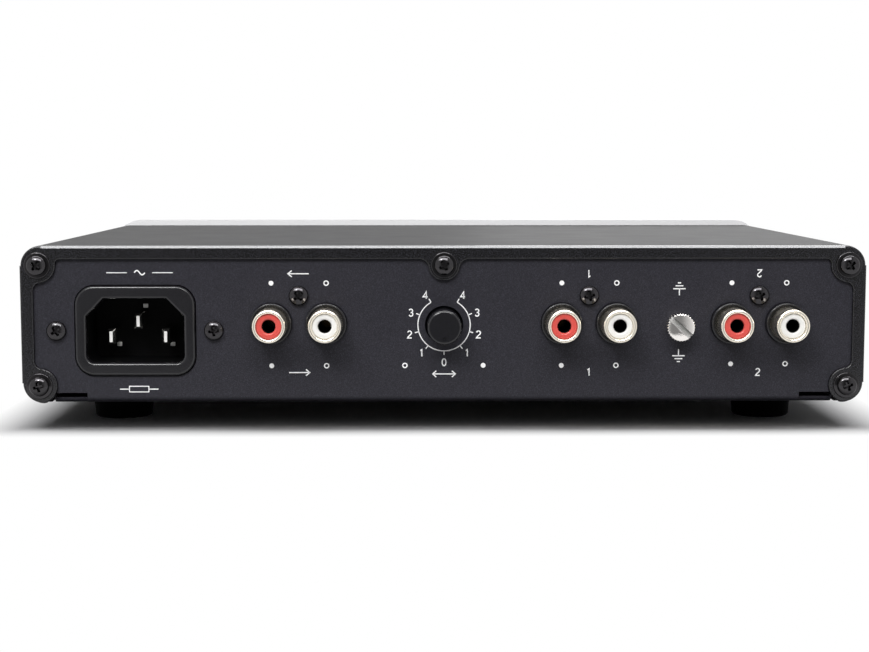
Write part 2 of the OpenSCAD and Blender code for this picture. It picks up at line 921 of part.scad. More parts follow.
// One insulator of each pair: side 1 is the right channel, side -1 the left
module insulators(side)
  for (x = pair_x)
    turned_rear(x + side * jack_pitch / 2, jack_seat, case_z + jack_z)
      insulator_profile();

module red_insulators()
  color("crimson")
    insulators(1);

module white_insulators()
  color("white")
    insulators(-1);

module jack_contacts()
  color("goldenrod")
    for (x = pair_x, s = [-1, 1]) {
      cx = x + s * jack_pitch / 2;
      difference() {
        bar(cx, case_z + jack_z, contact_r, block_back - jack_tail[1], jack_seat);
        bar(cx, case_z + jack_z, pin_hole_r, block_back + 1, jack_seat + 1);
      }
      block(cx - jack_tail[0] / 2, cx + jack_tail[0] / 2,
            block_back - jack_tail[1], block_back, board_z - 1, case_z + jack_z);
    }

module jack_screws()
  color("#202022")
    for (x = pair_x)
      screw_from_rear(x, wall_out, case_z + jack_z + jack_screw_rise, tapping_r, 8);

// ---------------------------------------------------------------- balance control

module balance_pot()
  color("#3a6ea5")
    difference() {
      union() {
        block(balance_x - balance_body[0] / 2, balance_x + balance_body[0] / 2,
              balance_body_back, balance_face, board_top, case_z + knob_z + balance_body[0] / 2);
        bar(balance_x, case_z + knob_z, balance_bush_r, balance_face, balance_bush_end);
      }
      bar(balance_x, case_z + knob_z, balance_shaft_r + running_gap,
          balance_shaft_end, balance_bush_end + 1);
    }

module balance_shaft()
  color("silver")
    bar(balance_x, case_z + knob_z, balance_shaft_r, balance_shaft_end + face_gap, knob_front - 2);

module balance_knob()
  color("#161618")
    difference() {
      union() {
        turned_rear(balance_x, knob_back, case_z + knob_z)
          polygon([[0, 0], [knob_r, 0], [knob_tip_r, knob_front - knob_back - knob_fillet],
                   [0, knob_front - knob_back - knob_fillet]]);
        turned_rear(balance_x, knob_front - knob_fillet, case_z + knob_z) {
          square([knob_tip_r - knob_fillet, knob_fillet]);
          intersection() {
            translate([knob_tip_r - knob_fillet, 0])
              circle(r = knob_fillet, $fn = 32);
            square([knob_tip_r, knob_fillet]);
          }
        }
      }
      bar(balance_x, case_z + knob_z, balance_shaft_r + press_gap, knob_back - 1, knob_front - 2);
      bar(balance_x, case_z + knob_z - knob_tip_r + 1.3, 0.45, knob_front - 0.35, knob_front + 1);
    }

// ---------------------------------------------------------------- ground terminal

module ground_insert()
  color("silver")
    difference() {
      bar(ground_x, case_z + ground_z, insert_r, insert_back, wall_out);
      bar(ground_x, case_z + ground_z, stud_r + running_gap, insert_back - 1, wall_out + 1);
    }

// Solder tag behind the insert, with its leg down to the main board
module ground_tag()
  color("#c9a227")
    along_y(insert_back - tag_t, insert_back)
      difference() {
        union() {
          translate([ground_x, case_z + ground_z])
            circle(r = insert_r + 0.6);
          translate([ground_x - 1.5, board_top])
            square([3, case_z + ground_z - board_top]);
        }
        translate([ground_x, case_z + ground_z])
          circle(r = stud_r + free_gap);
      }

module ground_washer()
  color("gainsboro")
    difference() {
      bar(ground_x, case_z + ground_z, head_r - 0.3, washer_y, washer_y + washer_t);
      bar(ground_x, case_z + ground_z, stud_r + running_gap, washer_y - 1, washer_y + washer_t + 1);
    }

// Outline of the knurled head: one tooth every 360/teeth degrees
module knurl_outline()
  polygon([for (k = [0:2 * teeth - 1])
           (k % 2 == 0 ? head_r : head_r - 0.22) * [cos(180 * k / teeth), sin(180 * k / teeth)]]);

module ground_screw()
  color("gainsboro")
    difference() {
      union() {
        intersection() {
          translate([ground_x, head_y, case_z + ground_z])
            rotate([-90, 0, 0])
              linear_extrude(head_h)
                knurl_outline();
          turned_rear(ground_x, head_y, case_z + ground_z)
            polygon([[0, 0], [head_r - 0.3, 0], [head_r + 0.1, 0.4], [head_r + 0.1, head_h - 0.4],
                     [head_r - 0.3, head_h], [0, head_h]]);
        }
        bar(ground_x, case_z + ground_z, stud_r, stud_end, head_y + 1);
      }
      translate([ground_x, head_y + head_h, case_z + ground_z])
        rotate([0, -slot_turn, 0])
          cube([3 * head_r, 2.8, slot_w], center = true);
    }

// ---------------------------------------------------------------- boards

module board_outline(w, y0, y1, holes)
  difference() {
    translate([w[0], y0])
      square([w[1] - w[0], y1 - y0]);
    for (p = holes)
      translate(p)
        circle(r = m3_r + drill_gap);
  }

module main_board()
  color("darkgreen")
    translate([0, 0, board_z])
      linear_extrude(board_t)
        difference() {
          board_outline(main_w, boards_front, main_rear, main_holes);
          for (x = pair_x, s = [-1, 1])
            translate([x + s * jack_pitch / 2, block_back - jack_tail[1] / 2])
              circle(r = 1);
        }

module psu_board()
  color("darkgreen")
    translate([0, 0, board_z])
      linear_extrude(board_t)
        board_outline(psu_w, boards_front, psu_rear, psu_holes);

module standoffs()
  color("silver")
    for (p = board_holes)
      translate([p[0], p[1], base_top])
        difference() {
          cylinder(r = standoff_r, h = standoff_h);
          cylinder(r = tapping_r + press_gap, h = standoff_h + 1);
        }

module board_screws()
  color("silver")
    for (p = board_holes)
      translate([p[0], p[1], board_top])
        pan_screw(m3_head_r, m3_head_h, tapping_r, board_t + standoff_h - 1);

// The front board stands behind the controls, with an opening for the headphone socket
front_board_x = [power_x - 10, volume_x + 16];
front_board_z = [board_top + 0.5, mid_z + port_top - port_r - free_gap];
module front_board()
  color("darkgreen")
    along_y(board_face, front_board_back)
      difference() {
        translate([front_board_x[0], front_board_z[0]])
          square([front_board_x[1] - front_board_x[0], front_board_z[1] - front_board_z[0]]);
        translate([phones_x, control_z])
          square([phones_body[0] + 1, phones_body[1] + 0.6], center = true);
      }

// ---------------------------------------------------------------- supply parts

supply_x = (psu_w[0] + psu_w[1]) / 2;
supply_front = boards_front + 2 * hole_inset;

// Rows of parts on the supply board, from the inlet towards the front, with equal gaps
connector_size = [pin_pitch + 6, 8, 7];
choke_r = [5.6, 3];
core_size = [22, 10, 19];
winding_r = 7.3;
storage_can = [6.3, 20];
output_can = [4, 14];
heatsink_size = [2, 16, 22];
core_leg = 4;
row_depths = [connector_size[1], 2 * (choke_r[0] + choke_r[1]), heatsink_size[1], 2 * winding_r];
rows_rear = psu_rear - 2 * hole_inset;
rows_front = boards_front + hole_inset;
row_gap = (rows_rear - rows_front - row_depths[0] - row_depths[1] - row_depths[2] - row_depths[3]) / 3;
connector_y = rows_rear - row_depths[0] / 2;
choke_y = connector_y - (row_depths[0] + row_depths[1]) / 2 - row_gap;
storage_y = choke_y - (row_depths[1] + row_depths[2]) / 2 - row_gap;
transformer_y = storage_y - (row_depths[2] + row_depths[3]) / 2 - row_gap;

// Ferrite core round a wound bobbin
module psu_transformer()
  color("#5a4632")
    translate([supply_x, transformer_y, board_top]) {
      difference() {
        translate([-core_size[0] / 2, -core_size[1] / 2, 0])
          cube(core_size);
        translate([-core_size[0] / 2 + core_leg, -core_size[1], core_leg])
          cube([core_size[0] - 2 * core_leg, 2 * core_size[1], core_size[2] - 2 * core_leg]);
      }
      translate([-core_leg / 2, -core_size[1] / 2, core_leg - 1])
        cube([core_leg, core_size[1], core_size[2] - 2 * core_leg + 2]);
      translate([0, 0, core_leg])
        difference() {
          cylinder(r = winding_r, h = core_size[2] - 2 * core_leg);
          translate([-core_leg / 2, -core_size[1] / 2, -1])
            cube([core_leg, core_size[1], core_size[2]]);
          for (s = [-1, 1])
            translate([s * (core_size[0] - core_leg) / 2, 0, core_size[2] / 2])
              cube([core_leg + 2, core_size[1] + 0.4, core_size[2] + 2], center = true);
        }
    }

// Toroidal filter choke lying on the board
module psu_choke()
  color("#b5651d")
    translate([psu_w[0] + choke_r[0] + choke_r[1] + 3.4, choke_y, board_top + choke_r[1]])
      rotate_extrude()
        translate([choke_r[0], 0])
          circle(r = choke_r[1]);

// Round capacitor standing on the board, with the groove that closes its can
module can(x, y, size)
  translate([x, y, board_top])
    rotate_extrude()
      difference() {
        square(size);
        translate([size[0] + 0.2, 2])
          circle(r = 0.6, $fn = 24);
      }

module psu_capacitors()
  color("#26262c") {
    can(supply_x + heatsink_size[1] / 2 + 3, storage_y, storage_can);
    for (k = [1, 2], s = [-1, 1])
      can(psu_w[1] - (2 * k - 1) * (output_can[0] + 1), choke_y + s * (output_can[0] + 0.4), output_can);
  }

// Finned heatsink of the supply's switch
module psu_heatsink()
  color("#8d8f92")
    translate([supply_x - heatsink_size[1] / 2 - 4, storage_y - heatsink_size[1] / 2, board_top])
      linear_extrude(heatsink_size[2]) {
        square([heatsink_size[0], heatsink_size[1]]);
        for (k = [0:4])
          translate([-4.6, 0.4 + k * (heatsink_size[1] - 2) / 4])
            square([5, 1.2]);
      }

module mains_connector()
  color("white")
    difference() {
      translate([inlet_x - connector_size[0] / 2, connector_y - connector_size[1] / 2, board_top])
        cube(connector_size);
      for (s = [-1, 1])
        translate([inlet_x + s * pin_pitch / 2, connector_y, board_top + 3])
          cylinder(r = lead_r + free_gap, h = connector_size[2]);
    }

// ---------------------------------------------------------------- signal parts

// One dual in-line package with its legs, along Y
module dip(x, y) {
  body = [6.4, 9.6, 3.2];
  translate([x, y, board_top]) {
    difference() {
      translate([-body[0] / 2, -body[1] / 2, 0.6])
        cube(body);
      translate([0, body[1] / 2, body[2]])
        cylinder(r = 0.8, h = 2);
    }
    for (s = [-1, 1], k = [0:3])
      translate([s * 3.5 - 0.3, -4.06 + 2.54 * k, 0])
        cube([0.6, 0.5, 2.2]);
  }
}

// Evenly spaced places along the main board, clear of its edges
function along_board(count, margin) =
  [for (k = [0:count - 1]) main_w[0] + margin + k * (main_w[1] - main_w[0] - 2 * margin) / (count - 1)];

relay_size = [15, 7.5, 10];
film_size = [7.2, 3.5, 8];
signal_can = [4, 12];
chip_row = (boards_front + block_back) / 2;
chip_step = 14;
can_step = 25;

module opamps()
  color("#18181a")
    for (x = along_board(6, 16))
      dip(x, chip_row);

module film_capacitors()
  color("#b8342c")
    for (x = along_board(7, 8), y = [chip_row + chip_step, chip_row - chip_step])
      translate([x - film_size[0] / 2, y - film_size[1] / 2, board_top])
        cube(film_size);

module electrolytic_capacitors()
  color("#1f2a44")
    for (x = along_board(6, 16))
      can(x, chip_row - can_step, signal_can);

module relays()
  color("#e6e2d6")
    for (x = pair_x)
      translate([x - relay_size[0] / 2, block_back - 9.5 - relay_size[1], board_top])
        cube(relay_size);

// ---------------------------------------------------------------- wiring

ribbon_w = 18;
ribbon_t = 0.9;
ribbon_x = -6;
header_y = front_board_back + 14;
ribbon_rise = 6;
ribbon_bend = 4;
socket_size = [6, 7];

// Side view of the ribbon: up from the main board, round a bend, forward to the front board
module ribbon_outline() {
  bend_y = header_y - ribbon_bend;
  bend_z = board_top + socket_size[1] + ribbon_rise;
  translate([header_y - socket_size[0] / 2, board_top])
    square(socket_size);
  translate([header_y - ribbon_t / 2, board_top + socket_size[1] - 1])
    square([ribbon_t, ribbon_rise + 1]);
  translate([bend_y, bend_z])
    intersection() {
      difference() {
        circle(r = ribbon_bend + ribbon_t / 2);
        circle(r = ribbon_bend - ribbon_t / 2);
      }
      square(2 * ribbon_bend);
    }
  translate([front_board_back + socket_size[1] - 1, bend_z + ribbon_bend - ribbon_t / 2])
    square([bend_y - front_board_back - socket_size[1] + 1, ribbon_t]);
  translate([front_board_back, bend_z + ribbon_bend - socket_size[0] / 2])
    square([socket_size[1], socket_size[0]]);
}

// Front view of the short bridge from the supply board to the main board
module bridge_outline() {
  bend_z = board_top + 9;
  for (s = [-1, 1]) {
    translate([board_split + s * 6 - 2.5, board_top])
      square([5, 6]);
    translate([board_split + s * 6 - ribbon_t / 2, board_top + 5])
      square([ribbon_t, bend_z - board_top - 5]);
  }
  translate([board_split, bend_z])
    intersection() {
      difference() {
        circle(r = 6 + ribbon_t / 2);
        circle(r = 6 - ribbon_t / 2);
      }
      translate([-8, 0])
        square([16, 8]);
    }
}

module ribbon_cables()
  color("lightgray") {
    along_x(ribbon_x - ribbon_w / 2, ribbon_x + ribbon_w / 2)
      ribbon_outline();
    along_y(supply_front + 2, supply_front + 14)
      bridge_outline();
  }

// A round lead swept along a list of points: 8 sides, one ring at each point
function unit(v) = v / norm(v);
function ring_axis(path, k) =
  unit((k < len(path) - 1 ? unit(path[k + 1] - path[k]) : [0, 0, 0])
       + (k > 0 ? unit(path[k] - path[k - 1]) : [0, 0, 0]));
function ring_side(axis) = unit(cross(axis, abs(axis[0]) < 0.9 ? [1, 0, 0] : [0, 1, 0]));
function ring(path, k, r) =
  let (axis = ring_axis(path, k), a = ring_side(axis), b = cross(axis, a))
  [for (j = [0:7]) path[k] + r * (cos(45 * j) * a + sin(45 * j) * b)];

module lead(path, r) {
  last = len(path) - 1;
  points = [for (k = [0:last]) each ring(path, k, r)];
  sides = [for (k = [0:last - 1], j = [0:7])
           [8 * k + j, 8 * k + (j + 1) % 8, 8 * k + 8 + (j + 1) % 8, 8 * k + 8 + j]];
  start = [[for (j = [7:-1:0]) j]];
  finish = [[for (j = [0:7]) 8 * last + j]];
  polyhedron(points, concat(sides, start, finish));
}

lead_r = 1;
lead_bend = 3;

// Points round a quarter circle, from direction a to direction b
function bend(centre, a, b) =
  [for (t = [0:22.5:90]) centre + lead_bend * (cos(t) * a + sin(t) * b)];

// Route of a live lead: forward from its tab, up and over, and down into the connector
function over_route(x, y0, z0, y1, z1) =
  let (r = lead_bend, rise = r + 1, up = [0, 0, 1], front = [0, -1, 0])
  concat([[x, y0, z0]],
         bend([x, y0 - 2, z0 + r], -up, front),
         bend([x, y0 - 2 - 2 * r, z0 + rise], -front, up),
         bend([x, y1 + r, z0 + rise], up, front),
         [[x, y1, z1]]);

// Route of the earth lead: forward from its tab and down to the chassis
function down_route(x, y0, z0, z1) =
  concat([[x, y0, z0]],
         bend([x, y0 - 2, z0 - lead_bend], [0, 0, 1], [0, -1, 0]),
         [[x, y0 - 2 - lead_bend, z1]]);

module mains_leads()
  color("#8b5a2b") {
    tab_z = case_z + inlet_z - live_drop;
    for (s = [-1, 1])
      lead(over_route(inlet_x + s * pin_pitch / 2, tab_end, tab_z, connector_y, board_top + 3), lead_r);
    lead(down_route(inlet_x, tab_end, tab_z + earth_rise, base_top), lead_r);
  }

// ---------------------------------------------------------------- front controls

module volume_pot()
  color("#3a6ea5")
    difference() {
      union() {
        block(volume_x - 8, volume_x + 8, front_wall_in, board_face, control_z - 8, control_z + 8);
        bar(volume_x, control_z, volume_bush_r, volume_bush_end, front_wall_in);
      }
      bar(volume_x, control_z, volume_shaft_r + running_gap, volume_bush_end - 1, board_face - 2);
    }

module volume_nut()
  color("silver")
    translate([volume_x, 0, control_z])
      along_y(pocket_y - volume_nut_t, pocket_y)
        difference() {
          circle(r = volume_nut_af / sqrt(3), $fn = 6);
          circle(r = volume_bush_r + press_gap);
        }

module volume_shaft()
  color("silver")
    bar(volume_x, control_z, volume_shaft_r, volume_knob_front + 2, board_face - 2 - face_gap);

module volume_knob_profile() {
  len = volume_knob_back - volume_knob_front;
  edge = 0.8;
  difference() {
    union() {
      square([volume_r, len - edge]);
      square([volume_r - edge, len]);
      translate([volume_r - edge, len - edge])
        circle(r = edge, $fn = 32);
    }
    // shallow dish in the front face
    translate([0, len + 59.4])
      circle(r = 60, $fn = 128);
    // hollow back
    translate([volume_shaft_r + 2, -1])
      square([volume_r - volume_shaft_r - 3.5, len - 2]);
  }
}

module volume_knob()
  color("silver")
    difference() {
      turned_front(volume_x, volume_knob_back, control_z)
        volume_knob_profile();
      bar(volume_x, control_z, volume_shaft_r + press_gap,
          volume_knob_front + 2, volume_knob_back + 1);
      // pointer groove
      block(volume_x - 0.4, volume_x + 0.4, volume_knob_front - 1, volume_knob_front + 0.6,
            control_z + volume_r - 5, control_z + volume_r + 1);
    }

module headphone_jack()
  color("#1b1b1d")
    difference() {
      union() {
        block(phones_x - phones_body[0] / 2, phones_x + phones_body[0] / 2,
              front_wall_in, front_wall_in + phones_body[2],
              control_z - phones_body[1] / 2, control_z + phones_body[1] / 2);
        bar(phones_x, control_z, phones_bush_r, fascia_y - phones_ring_t, front_wall_in);
      }
      bar(phones_x, control_z, phones_r, fascia_y - phones_ring_t - 1,
          front_wall_in + phones_body[2] - 3);
    }

module headphone_ring()
  color("silver")
    turned_front(phones_x, fascia_y, control_z)
      difference() {
        union() {
          square([phones_ring_r, phones_ring_t - 0.5]);
          square([phones_ring_r - 0.5, phones_ring_t]);
          translate([phones_ring_r - 0.5, phones_ring_t - 0.5])
            circle(r = 0.5, $fn = 32);
        }
        translate([0, -phones_ring_t])
          square([phones_bush_r + press_gap, 3 * phones_ring_t]);
      }

switch_front = board_face - switch_size[1];
flange_y = pocket_y + face_gap;
module push_switches()
  color("#2b2b2e")
    for (x = [power_x, selector_x])
      difference() {
        block(x - switch_size[0] / 2, x + switch_size[0] / 2, switch_front, board_face,
              control_z - switch_size[0] / 2, control_z + switch_size[0] / 2);
        bar(x, control_z, button_stem_r + free_gap, switch_front - 1, board_face - 1);
      }

module push_button(x)
  color("silver") {
    turned_front(x, flange_y, control_z)
      intersection() {
        cap = flange_y - fascia_y + button_out;
        square([button_r, cap]);
        union() {
          square([button_r, cap - 0.5]);
          square([button_r - 0.5, cap]);
          translate([button_r - 0.5, cap - 0.5])
            circle(r = 0.5, $fn = 32);
        }
      }
    bar(x, control_z, button_flange_r, flange_y, flange_y + button_flange_t);
    bar(x, control_z, button_stem_r, flange_y, board_face - 1 - button_travel - free_gap);
  }

module status_leds()
  color("#9fb8d8")
    for (x = led_places)
      bar(x, control_z, led_r, fascia_y, board_face);

// ---------------------------------------------------------------- assembly

cover_sleeve();
rear_frame();
chassis();
fascia();
front_subframe();
frame_screws();
subframe_screws();
fascia_screws();
foot(foot_places[0]);  // foot_front_left
foot(foot_places[2]);  // foot_front_right
foot(foot_places[1]);  // foot_rear_left
foot(foot_places[3]);  // foot_rear_right
foot_screws();
mains_inlet_shell();
inlet_pins();
inlet_screws();
inlet_nuts();
jack_block(output_x);  // output_jack_block
jack_block(mm_x);  // mm_jack_block
jack_block(mc_x);  // mc_jack_block
jack_sleeves(output_x);  // output_jack_sleeves
jack_sleeves(mm_x);  // mm_jack_sleeves
jack_sleeves(mc_x);  // mc_jack_sleeves
red_insulators();
white_insulators();
jack_contacts();
jack_screws();
balance_pot();
balance_shaft();
balance_knob();
ground_insert();
ground_tag();
ground_washer();
ground_screw();
main_board();
psu_board();
front_board();
standoffs();
board_screws();
psu_transformer();
psu_choke();
psu_capacitors();
psu_heatsink();
mains_connector();
opamps();
film_capacitors();
electrolytic_capacitors();
relays();
ribbon_cables();
mains_leads();
volume_pot();
volume_nut();
volume_shaft();
volume_knob();
headphone_jack();
headphone_ring();
push_switches();
push_button(power_x);  // power_button
push_button(selector_x);  // selector_button
status_leds();
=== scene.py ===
# %% [markdown]
# # A half-width phono preamp, dressed for the camera
#
# The object is a low black case: an extruded sleeve round a folded chassis, with a raised frame at the rear
# and a thick silver fascia at the front. Its sockets are on the rear, so that side gets most care. The
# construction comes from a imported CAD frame. Each visible piece is a CAD node with a better finish, or a
# finer mesh that stands for it.

# %% The fixed frame
import json
import math

import bmesh
import bpy
from mathutils import Matrix, Vector, geometry


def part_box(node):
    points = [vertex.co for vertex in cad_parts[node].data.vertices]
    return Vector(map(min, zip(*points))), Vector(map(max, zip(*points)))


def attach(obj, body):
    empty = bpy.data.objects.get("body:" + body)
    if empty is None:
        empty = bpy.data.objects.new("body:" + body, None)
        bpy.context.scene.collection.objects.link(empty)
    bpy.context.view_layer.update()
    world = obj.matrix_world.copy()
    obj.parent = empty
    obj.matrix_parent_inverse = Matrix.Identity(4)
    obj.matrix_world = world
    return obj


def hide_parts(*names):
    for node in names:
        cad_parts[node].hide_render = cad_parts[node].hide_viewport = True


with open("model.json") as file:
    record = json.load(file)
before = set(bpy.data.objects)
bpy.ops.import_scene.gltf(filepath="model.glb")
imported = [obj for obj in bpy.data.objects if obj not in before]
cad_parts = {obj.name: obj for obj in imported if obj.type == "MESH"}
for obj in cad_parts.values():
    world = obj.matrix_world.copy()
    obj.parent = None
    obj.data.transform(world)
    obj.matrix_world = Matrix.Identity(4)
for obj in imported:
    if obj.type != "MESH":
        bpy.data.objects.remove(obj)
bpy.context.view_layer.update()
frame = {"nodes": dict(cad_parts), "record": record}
nodes = frame["nodes"]
slot_of = {part["node"]: part["material_slot"] for part in frame["record"]["subparts"]}
MM = 0.001

# %% [markdown]
# ## Where things are
#
# A finer mesh sits exactly where its CAD node does, so places are read from the frame's boxes. Pieces are
# made in millimetres and turned into metres last; the camera, the lamps and the floor are in metres. The
# rear faces +Y, so the viewer's right is -X.


# %% Reading places from the frame
def low(node):
    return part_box(node)[0] / MM


def high(node):
    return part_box(node)[1] / MM


def ends_of(node):
    return low(node), high(node)


def middle(node):
    return (low(node) + high(node)) / 2


rim_face = high("rear_frame").y
wall_face = low("ground_washer").y - 0.1
wall_back = high("cover_sleeve").y
case_front = low("cover_sleeve").y
case_low, case_top = low("cover_sleeve").z, high("cover_sleeve").z
case_mid = (case_low + case_top) / 2
half_w, half_h = high("rear_frame").x, (case_top - case_low) / 2
corner_r = 5
washer_r = 3.35
port_x = high("frame_screws").x - washer_r
port_top = 15.1
port_low = -15.7
print(f"rear wall y = {wall_face:.1f}, rim y = {rim_face:.1f}, ports x = {port_x:.1f} mm")

# %% [markdown]
# ## The camera
#
# The viewer stands behind the object and a little above it, so close that the far silver edge shows narrower
# than the rear frame. The camera is turned a little less than a right angle about X, to look slightly down.

# %% Camera
camera_data = bpy.data.cameras.new("camera")
camera_data.sensor_width = 36
camera_data.lens = 68.54
camera = bpy.data.objects.new("camera", camera_data)
camera.location = (0.00721, 0.4904, 0.06791)
camera.rotation_euler = (math.radians(84.276), 0, math.radians(179.349))
bpy.context.scene.collection.objects.link(camera)
bpy.context.scene.camera = camera
print("camera at", tuple(round(v, 4) for v in camera.location))

# %% [markdown]
# ## Outlines
#
# Almost every piece is turned on a lathe or cut from a plate, so it starts as a flat outline of points in X
# and Z. Arcs are cut finely, because a coarse arc shows at once on a small part.


# %% Arcs, circles and rounded boxes
def arc(centre, radius, start, end, step=6):
    steps = max(1, math.ceil(abs(end - start) / step))
    angles = [math.radians(start + (end - start) * n / steps) for n in range(steps + 1)]
    return [(centre[0] + radius * math.cos(a), centre[1] + radius * math.sin(a)) for a in angles]


def circle(centre, radius, steps=64):
    return arc(centre, radius, 0, 360, 360 / steps)[:-1]


def round_box(width, height, radius, centre=(0, 0)):
    a, b = width / 2 - radius, height / 2 - radius
    loop = []
    for x, z, turn in ((a, -b, -90), (a, b, 0), (-a, b, 90), (-a, -b, 180)):
        loop += arc((centre[0] + x, centre[1] + z), radius, turn, turn + 90)
    return loop


def mirrored(points):
    return [(-x, z) for x, z in reversed(points)]


def shifted(points, dx, dz):
    return [(x + dx, z + dz) for x, z in points]


# %% Cleaning, turning and shrinking a loop
def clean(loop):
    """The loop without the points that repeat the one before."""
    return [p for k, p in enumerate(loop) if (Vector(p) - Vector(loop[k - 1])).length > 1e-3]


def anticlockwise(loop):
    area = sum(a[0] * b[1] - b[0] * a[1] for a, b in zip(loop, loop[1:] + loop[:1]))
    return loop if area > 0 else loop[::-1]


def inset(loop, distance):
    """The loop moved to its left by distance, with mitred corners."""
    if not distance:
        return loop
    moved_loop = []
    for k, here in enumerate(loop):
        before = (Vector(here) - Vector(loop[k - 1])).normalized()
        after = (Vector(loop[(k + 1) % len(loop)]) - Vector(here)).normalized()
        across = Vector((-before.y - after.y, before.x + after.x))
        stretch = max(0.3, 1 + before.dot(after))
        moved_loop.append(tuple(Vector(here) + across * (distance / stretch)))
    return moved_loop


# %% [markdown]
# ## Meshes
#
# A plate is a stack of the same outline: a ring at the back, one where its edge starts to round, and a few
# that shrink towards the face. The rounded edge catches a light and draws the bright line that makes a small
# part look real. Turned parts are rings too, of one radius each.


# %% From a builder to a mesh
def mesh_of(bm):
    mesh = bpy.data.meshes.new("mesh")
    bm.to_mesh(mesh)
    bm.free()
    return mesh


def mesh_from(builder):
    """Makes a mesh with builder(bm) in millimetres, welds it and turns its faces outwards."""
    bm = bmesh.new()
    builder(bm)
    bmesh.ops.remove_doubles(bm, verts=bm.verts, dist=1e-4)
    bmesh.ops.recalc_face_normals(bm, faces=bm.faces)
    bmesh.ops.scale(bm, vec=(MM, MM, MM), verts=bm.verts)
    return mesh_of(bm)


def bridge(bm, a, b):
    """Faces between two rings of vertices; either may be a single point."""
    if len(a) == 1 and len(b) == 1:
        return
    for n in range(max(len(a), len(b))):
        corners = [a[n % len(a)], a[(n + 1) % len(a)], b[(n + 1) % len(b)], b[n % len(b)]]
        bm.faces.new(list(dict.fromkeys(corners)))


# %% Plates with holes
def plate_mesh(outer, holes, back, front, edge=0.3, rounds=3):
    """A plate across Y; edge rounds its rim at the face y = front (one round is a bevel)."""
    loops = [anticlockwise(outer)] + [anticlockwise(hole)[::-1] for hole in holes]
    towards = 1 if front > back else -1
    layers = [(back, 0)]
    for n in range(rounds + 1 if edge else 1):
        turn = math.pi / 2 * n / rounds
        layers.append((front - towards * edge * (1 - math.sin(turn)), edge * (1 - math.cos(turn))))

    def build(bm):
        stacks = []
        for loop in loops:
            rings = [[bm.verts.new((x, y, z)) for x, z in inset(loop, depth)] for y, depth in layers]
            for a, b in zip(rings, rings[1:]):
                bridge(bm, a, b)
            stacks.append(rings)
        for end in (0, -1):
            ends = [rings[end] for rings in stacks]
            flat = [[Vector((v.co.x, v.co.z, 0)) for v in ring] for ring in ends]
            every = [v for ring in ends for v in ring]
            for triangle in geometry.tessellate_polygon(flat):
                bm.faces.new([every[k] for k in triangle])

    return mesh_from(build)


# %% Lofts and turned parts
def loft_mesh(rings, closed=False):
    """A mesh through rings of (x, y, z) points; closed joins the last to the first, without caps."""

    def build(bm):
        made = [[bm.verts.new(p) for p in ring] for ring in rings]
        for a, b in zip(made, made[1:] + (made[:1] if closed else [])):
            bridge(bm, a, b)
        if not closed:
            bm.faces.new(made[0][::-1])
            bm.faces.new(made[-1])

    return mesh_from(build)


def lathe_mesh(profile, centre, towards=1, steps=96):
    """A closed profile of (radius, depth along +Y, or -Y if towards is -1) turned about Y."""
    axis = (centre[0], centre[2])
    rings = []
    for radius, depth in profile:
        flat = circle(axis, radius, steps) if radius > 1e-6 else [axis]
        rings.append([(x, centre[1] + towards * depth, z) for x, z in flat])
    return loft_mesh(rings, closed=True)


def tapered_box(wide, narrow, y0, y1, centre=(0, 0)):
    """A box along Y, wide = (x, z) at y0 and narrow = (x, z) at y1."""
    rings = []
    for (w, h), y in ((wide, y0), (narrow, y1)):
        corners = [(-w, -h), (w, -h), (w, h), (-w, h)]
        rings.append([(centre[0] + a / 2, y, centre[1] + b / 2) for a, b in corners])
    return loft_mesh(rings)


# %% Joining and moving
def joined(meshes):
    """Several meshes as one."""
    bm = bmesh.new()
    for mesh in meshes:
        bm.from_mesh(mesh)
    return mesh_of(bm)


def moved(mesh, place, turn=0):
    """A copy of the mesh, turned about Y by degrees and then moved by millimetres."""
    copy = mesh.copy()
    copy.transform(Matrix.Translation(Vector(place) * MM) @ Matrix.Rotation(math.radians(turn), 4, "Y"))
    return copy


# %% Cutting and softening
def in_scene(name, data):
    made = bpy.data.objects.new(name, data)
    bpy.context.scene.collection.objects.link(made)
    return made


def modified(target):
    """The mesh that an object's modifiers make; the object goes."""
    bpy.context.view_layer.update()
    depsgraph = bpy.context.evaluated_depsgraph_get()
    done = bpy.data.meshes.new_from_object(target.evaluated_get(depsgraph))
    bpy.data.objects.remove(target)
    return done


def cut(mesh, cutters):
    """The mesh with each cutter mesh taken away."""
    target = in_scene("cut_target", mesh)
    tools = [in_scene("cut_tool", cutter) for cutter in cutters]
    for tool in tools:
        modifier = target.modifiers.new("cut", "BOOLEAN")
        modifier.operation, modifier.solver, modifier.object = "DIFFERENCE", "EXACT", tool
    done = modified(target)
    for tool in tools:
        bpy.data.objects.remove(tool)
    return done


def softened(mesh, width):
    """The mesh with its sharp edges rounded by width in millimetres."""
    target = in_scene("soften_target", mesh)
    modifier = target.modifiers.new("soften", "BEVEL")
    modifier.width, modifier.segments = width * MM, 2
    modifier.limit_method, modifier.angle_limit = "ANGLE", math.radians(35)
    return modified(target)


# %% From a mesh to a piece of the object
finishes = {}


def piece(name, mesh, finish_name, stands_for=(), body="case", smooth=35):
    """Puts a mesh in the scene as a piece that rides on a body and stands for CAD nodes."""
    made = in_scene(name, mesh)
    mesh.name = name
    mesh.materials.clear()
    mesh.materials.append(finishes[finish_name])
    for face in mesh.polygons:
        face.use_smooth = True
        face.material_index = 0
    mesh.set_sharp_from_angle(angle=math.radians(smooth))
    flats = made.modifiers.new("flats_first", "WEIGHTED_NORMAL")
    flats.keep_sharp = True
    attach(made, body)
    if stands_for:
        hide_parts(*stands_for)
    return made


